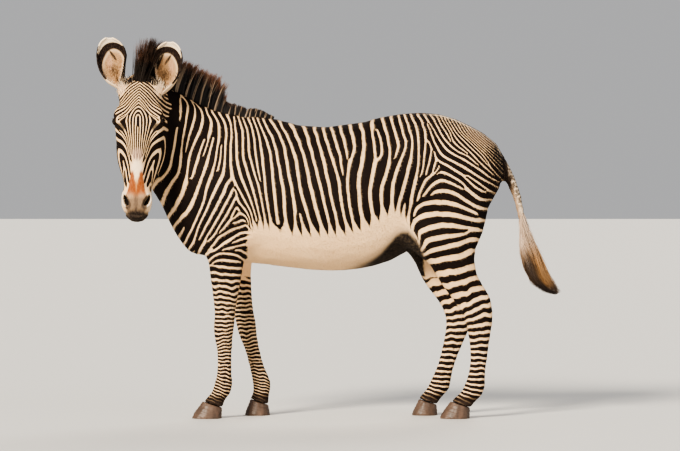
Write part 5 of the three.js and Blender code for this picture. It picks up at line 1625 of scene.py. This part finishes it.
# The dark fringe across the poll, from ear to ear.
count = 420
across_poll = dice.uniform(-0.085, 0.085, count)
fringe_line = 0.004 + 0.10 * np.abs(across_poll) + dice.uniform(-0.006, 0.006, count)
poll_line = POLL + np.outer(fringe_line, HEAD_DOWN)
poll_line = poll_line + np.outer(across_poll, HEAD_LEFT)
poll_line = poll_line - np.outer(dice.uniform(0.050, 0.085, count), HEAD_FORTH)
starts = on_skin(poll_line) + 0.002 * HEAD_DOWN
ways = -1.0 * HEAD_DOWN + 0.15 * HEAD_FORTH + dice.normal(0, 0.16, (count, 3))
sprout(starts, ways, np.outer(across_poll * 2, HEAD_LEFT), (0.018, 0.034), 0.0024, FRINGE_BROWN)
# Whiskers on the chin.
count = 70
chin = POLL + np.outer(dice.uniform(0.60, 0.69, count), HEAD_DOWN)
chin = chin + np.outer(dice.uniform(-0.055, 0.055, count), HEAD_LEFT)
chin = chin - np.outer(dice.uniform(0.0, 0.06, count), HEAD_FORTH)
found = [hide_tree.find_nearest(Vector(point)) for point in chin]
starts, outward = (np.array([[*spot[k]] for spot in found]) for k in (0, 1))
ways = unit(outward + 0.25 * HEAD_DOWN + dice.normal(0, 0.2, (count, 3)))
sprout(starts, ways, 0.3 * HEAD_DOWN, (0.004, 0.010), 0.0005, WHISKER_GREY)
fine, along = lock_mesh("ear_and_face_hair", np.concatenate(fine_paths), np.concatenate(fine_across),
                        np.concatenate(fine_widths))
coloured(fine, np.repeat(np.concatenate(fine_colours)[:, None], len(along), axis=1), "soft_face_hair", 0.6)
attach(fine, "root")


# ---- Coat ---------------------------------------------------------------------------------
# Short sleek hair in small flat tufts that overlap like shingles and follow the lie of the coat:
# down the face and legs, back along the trunk. Each is rooted in the hide and coloured at its root.
COAT_PIECES = {
    "coat_head": ["head", "muzzle"],
    "coat_neck": ["neck"],
    "coat_chest": ["chest"],
    "coat_barrel": ["barrel"],
    "coat_haunches": ["haunches", "tail"],
    "coat_fore_legs": [part for part in LEG_PARTS if "fore" in part],
    "coat_hind_legs": [part for part in LEG_PARTS if "hind" in part],
}
# Length, width and how closely set, from the hooves up a leg, on the trunk, and down the head.
LEG_TUFTS = [(0.07, 0.0045, 0.0013, 0.6), (0.20, 0.0065, 0.0017, 0.7), (0.50, 0.0085, 0.0020, 0.7),
             (0.85, 0.0105, 0.0022, 0.72)]
HEAD_TUFTS = [(0.00, 0.0080, 0.0018, 0.8), (0.12, 0.0055, 0.0013, 0.6), (0.40, 0.0050, 0.0012, 0.6),
              (0.56, 0.0032, 0.0011, 0.3), (0.70, 0.0028, 0.0010, 0.3)]
HOOF_TOP = 0.068
TUFT_ROOT_DEPTH = 0.0007
STRAY_SHARE = 0.03
dice = np.random.default_rng(41)


def tuft_sizes(places, homes):
    """The length, the width and the closeness of the tufts at each place."""
    down = head_places(places)[0]
    on_skull = lies_in(homes, "head", "muzzle")
    floor_rows, poll_rows = np.array(LEG_TUFTS).T, np.array(HEAD_TUFTS).T
    return [np.where(on_skull, np.interp(down, poll_rows[0], from_poll),
                     np.interp(places[:, 2], floor_rows[0], from_floor))
            for from_floor, from_poll in zip(floor_rows[1:], poll_rows[1:])]


def hair_lie(places, normals, homes):
    """The way the hair lies along the skin at each place."""
    x, z = places[:, 0], places[:, 2]
    back = np.interp(x, [-0.95, -0.60, -0.25, 0.40, 0.70], [0.25, 0.40, 0.85, 0.80, 0.45])
    back = np.where(z < 0.78, 0.12 + (back - 0.12) * ramp(z, 0.60, 0.78), back)
    lie = np.stack([back, np.zeros(len(x)), back - 1.25], axis=1)
    lie[lies_in(homes, "head", "muzzle")] = HEAD_DOWN
    swirl = 0.16 * np.sin(x * 23 + z * 9) + 0.12 * np.sin(z * 31 - x * 13) + dice.normal(0, 0.13, len(x))
    lie -= normals * (lie * normals).sum(1)[:, None]
    lie /= np.maximum(np.linalg.norm(lie, axis=1, keepdims=True), 1e-6)
    return lie * np.cos(swirl)[:, None] + np.cross(normals, lie) * np.sin(swirl)[:, None]


def coat_roots():
    """Scatters roots over the hide's faces, more where tufts are smaller, and none in the openings."""
    mesh = hide.data
    mesh.calc_loop_triangles()
    triangles = read_all(mesh.loop_triangles, "vertices", 3, np.int64)
    corners = hide_points[triangles]
    areas = np.linalg.norm(np.cross(corners[:, 1] - corners[:, 0], corners[:, 2] - corners[:, 0]), axis=1) / 2
    middles, homes = corners.mean(1), home[triangles[:, 0]]
    length, width, close = tuft_sizes(middles, homes)
    down, left, forth = head_places(middles)
    open_skin = middles[:, 2] < HOOF_TOP
    for side, hand in HANDS.items():
        middle, outward = eye_frame(side)[:2]
        open_skin |= np.linalg.norm(middles - middle - 0.012 * outward, axis=1) < 0.029
        open_skin |= (nostril_reach(down, left, hand) < 1.25) & (forth > -0.10) & (down > 0.5)
    wanted = areas * close / (length * width) * ~open_skin
    count = np.floor(wanted + dice.random(len(wanted))).astype(int)
    chosen = np.repeat(np.arange(len(triangles)), count)
    mix = dice.dirichlet((1, 1, 1), len(chosen))
    places = (corners[chosen] * mix[..., None]).sum(1)
    normals = unit((hide_normals[triangles[chosen]] * mix[..., None]).sum(1))
    return places, normals, homes[chosen]


def skin_map(places, homes, nodes):
    """Each root's place on the skin unrolled round its own part of the body, one tile a part."""
    tiles = math.ceil(math.sqrt(len(nodes)))
    result = np.zeros((len(places), 2))
    for number, node in enumerate(nodes):
        here = homes == FLESH.index(node)
        low, high = (np.array(corner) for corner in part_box(node))
        apart = (places[here] - (low + high) / 2) / (high - low)
        if node in ("barrel", "chest", "haunches"):
            round_it, along = np.arctan2(apart[:, 1], apart[:, 2]), apart[:, 0]
        else:
            round_it, along = np.arctan2(apart[:, 0], apart[:, 1]), apart[:, 2]
        spot = np.stack([0.5 + round_it / (2 * np.pi), 0.5 + along], axis=1)
        result[here] = (np.clip(spot, 0, 1) * 0.97 + 0.015 + [number % tiles, number // tiles]) / tiles
    return result


def laid_tufts(name, places, normals, homes, nodes):
    """Copies one three-sided tuft to every root, laid over along the hair, and colours it there."""
    bpy.ops.mesh.primitive_cone_add(vertices=3, radius1=1, radius2=0, depth=1)
    pattern = bpy.context.object
    shape = points_of(pattern)
    faces = np.array([tuple(face.vertices) for face in pattern.data.polygons])
    bpy.data.objects.remove(pattern)
    tip = int(np.argmax(shape[:, 2]))
    base = [corner for corner in range(4) if corner != tip]
    crown = base.pop(int(np.argmax([shape[corner, 1] for corner in base])))
    base.sort(key=lambda corner: shape[corner, 0])
    length, width, _ = tuft_sizes(places, homes)
    count = len(places)
    length = length * dice.uniform(0.75, 1.3, count)
    width = width * dice.uniform(0.8, 1.25, count)
    lie = hair_lie(places, normals, homes)
    across = np.cross(lie, normals)
    grown = np.clip(length / 0.010, 0.45, 1.4)
    lifted = grown * dice.uniform(0.0002, 0.0010, count)
    stray = dice.random(count) < STRAY_SHARE
    lifted = np.where(stray, lifted + 0.0009 * grown, lifted)
    points = np.empty((count, 4, 3))
    for corner, hand in zip(base, (1, -1)):
        points[:, corner] = places + across * (hand * width / 2)[:, None] - normals * TUFT_ROOT_DEPTH
    points[:, crown] = places + lie * (0.22 * length)[:, None] + normals * (0.00050 * grown)[:, None]
    points[:, tip] = places + lie * length[:, None] + normals * lifted[:, None]
    points[:, tip] += across * (dice.normal(0, 0.10, count) * length)[:, None]
    mesh = bpy.data.meshes.new(name)
    mesh.vertices.add(count * 4)
    mesh.vertices.foreach_set("co", points.ravel())
    mesh.loops.add(count * 12)
    mesh.loops.foreach_set("vertex_index", (np.arange(count)[:, None, None] * 4 + faces[None]).ravel())
    mesh.polygons.add(count * 4)
    mesh.polygons.foreach_set("loop_start", np.arange(count * 4) * 3)
    mesh.update(calc_edges=True)
    piece = bpy.data.objects.new(name, mesh)
    bpy.context.scene.collection.objects.link(piece)
    on_head, body, face, share, patches = coat_marks(places, normals, homes)
    shade = dice.normal(0, 0.035, count)
    add_values(mesh, "bar_phase", "FLOAT", "POINT", np.repeat(np.where(on_head, face[0], body[0]), 4))
    add_values(mesh, "cream_share", "FLOAT", "POINT", np.repeat(share + shade * (share < 0.9), 4))
    add_values(mesh, "patches", "FLOAT_COLOR", "POINT", np.repeat(patches, 4, axis=0))
    layer = mesh.uv_layers.new(name="OFBake")
    corner_spot = np.array([[-0.5, -0.5], [0.5, -0.5], [0.0, -0.1], [0.0, 0.5]])
    order = np.empty(4, dtype=int)
    order[[base[0], base[1], crown, tip]] = np.arange(4)
    spots = skin_map(places, homes, nodes)[:, None] + 0.003 * corner_spot[order][None]
    layer.data.foreach_set("uv", spots[:, faces.ravel()].ravel())
    mesh.materials.append(hide.data.materials[0])
    return piece


hide_points, hide_normals = points_of(hide), normals_of(hide)
places, normals, homes = coat_roots()
for name, nodes in COAT_PIECES.items():
    here = lies_in(homes, *nodes)
    coat = laid_tufts(name, places[here], normals[here], homes[here], nodes)
    only(coat)
    bpy.ops.object.shade_smooth()
    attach(coat, "root")


# ---- Studio -------------------------------------------------------------------------------
# A pale floor under three soft lamps, seen through a long lens from the animal's left side.
# None of it belongs to the animal.
CAMERA_PLACE = Vector((0.0595, -19.928, 1.43))
CAMERA_TARGET = Vector((0.0595, 0.0717, 0.957))
bpy.ops.object.camera_add(location=CAMERA_PLACE)
camera = bpy.context.object
camera.data.sensor_width = 36
camera.data.lens = 211.8
camera.data.clip_end = 100
camera.rotation_euler = (CAMERA_TARGET - CAMERA_PLACE).to_track_quat("-Z", "Y").to_euler()
bpy.context.scene.camera = camera
bpy.context.scene.view_settings.look = "AgX - High Contrast"

bpy.ops.mesh.primitive_plane_add(size=90)
floor = bpy.context.object
floor.name = "studio_floor"
floor_paint = Finish("studio_floor_paint", {"Base Color": (0.62, 0.605, 0.58), "Roughness": 0.9})
floor.data.materials.append(floor_paint.material)


def soft_sun(name, place, spread_angle, strength, colour):
    """A broad, far lamp that shines from the given side and lights the whole floor evenly."""
    bpy.ops.object.light_add(type="SUN", location=place)
    lamp = bpy.context.object
    lamp.name = name
    lamp.data.angle = spread_angle
    lamp.data.energy = strength
    lamp.data.color = colour
    lamp.rotation_euler = (Vector((0, 0, 1)) - Vector(place)).to_track_quat("-Z", "Y").to_euler()


soft_sun("key_lamp", (-3.4, -5.4, 4.6), 0.28, 4.7, (1.0, 0.92, 0.79))
soft_sun("fill_lamp", (5.0, -4.5, 3.2), 0.9, 0.4, (0.93, 0.96, 1.0))
soft_sun("rim_lamp", (1.5, 5.0, 4.5), 0.5, 1.1, (1.0, 0.97, 0.92))
world = bpy.context.scene.world or bpy.data.worlds.new("studio_air")
bpy.context.scene.world = world
world.use_nodes = True
world.node_tree.nodes["Background"].inputs["Color"].default_value = (0.84, 0.84, 0.85, 1)
world.node_tree.nodes["Background"].inputs["Strength"].default_value = 0.45
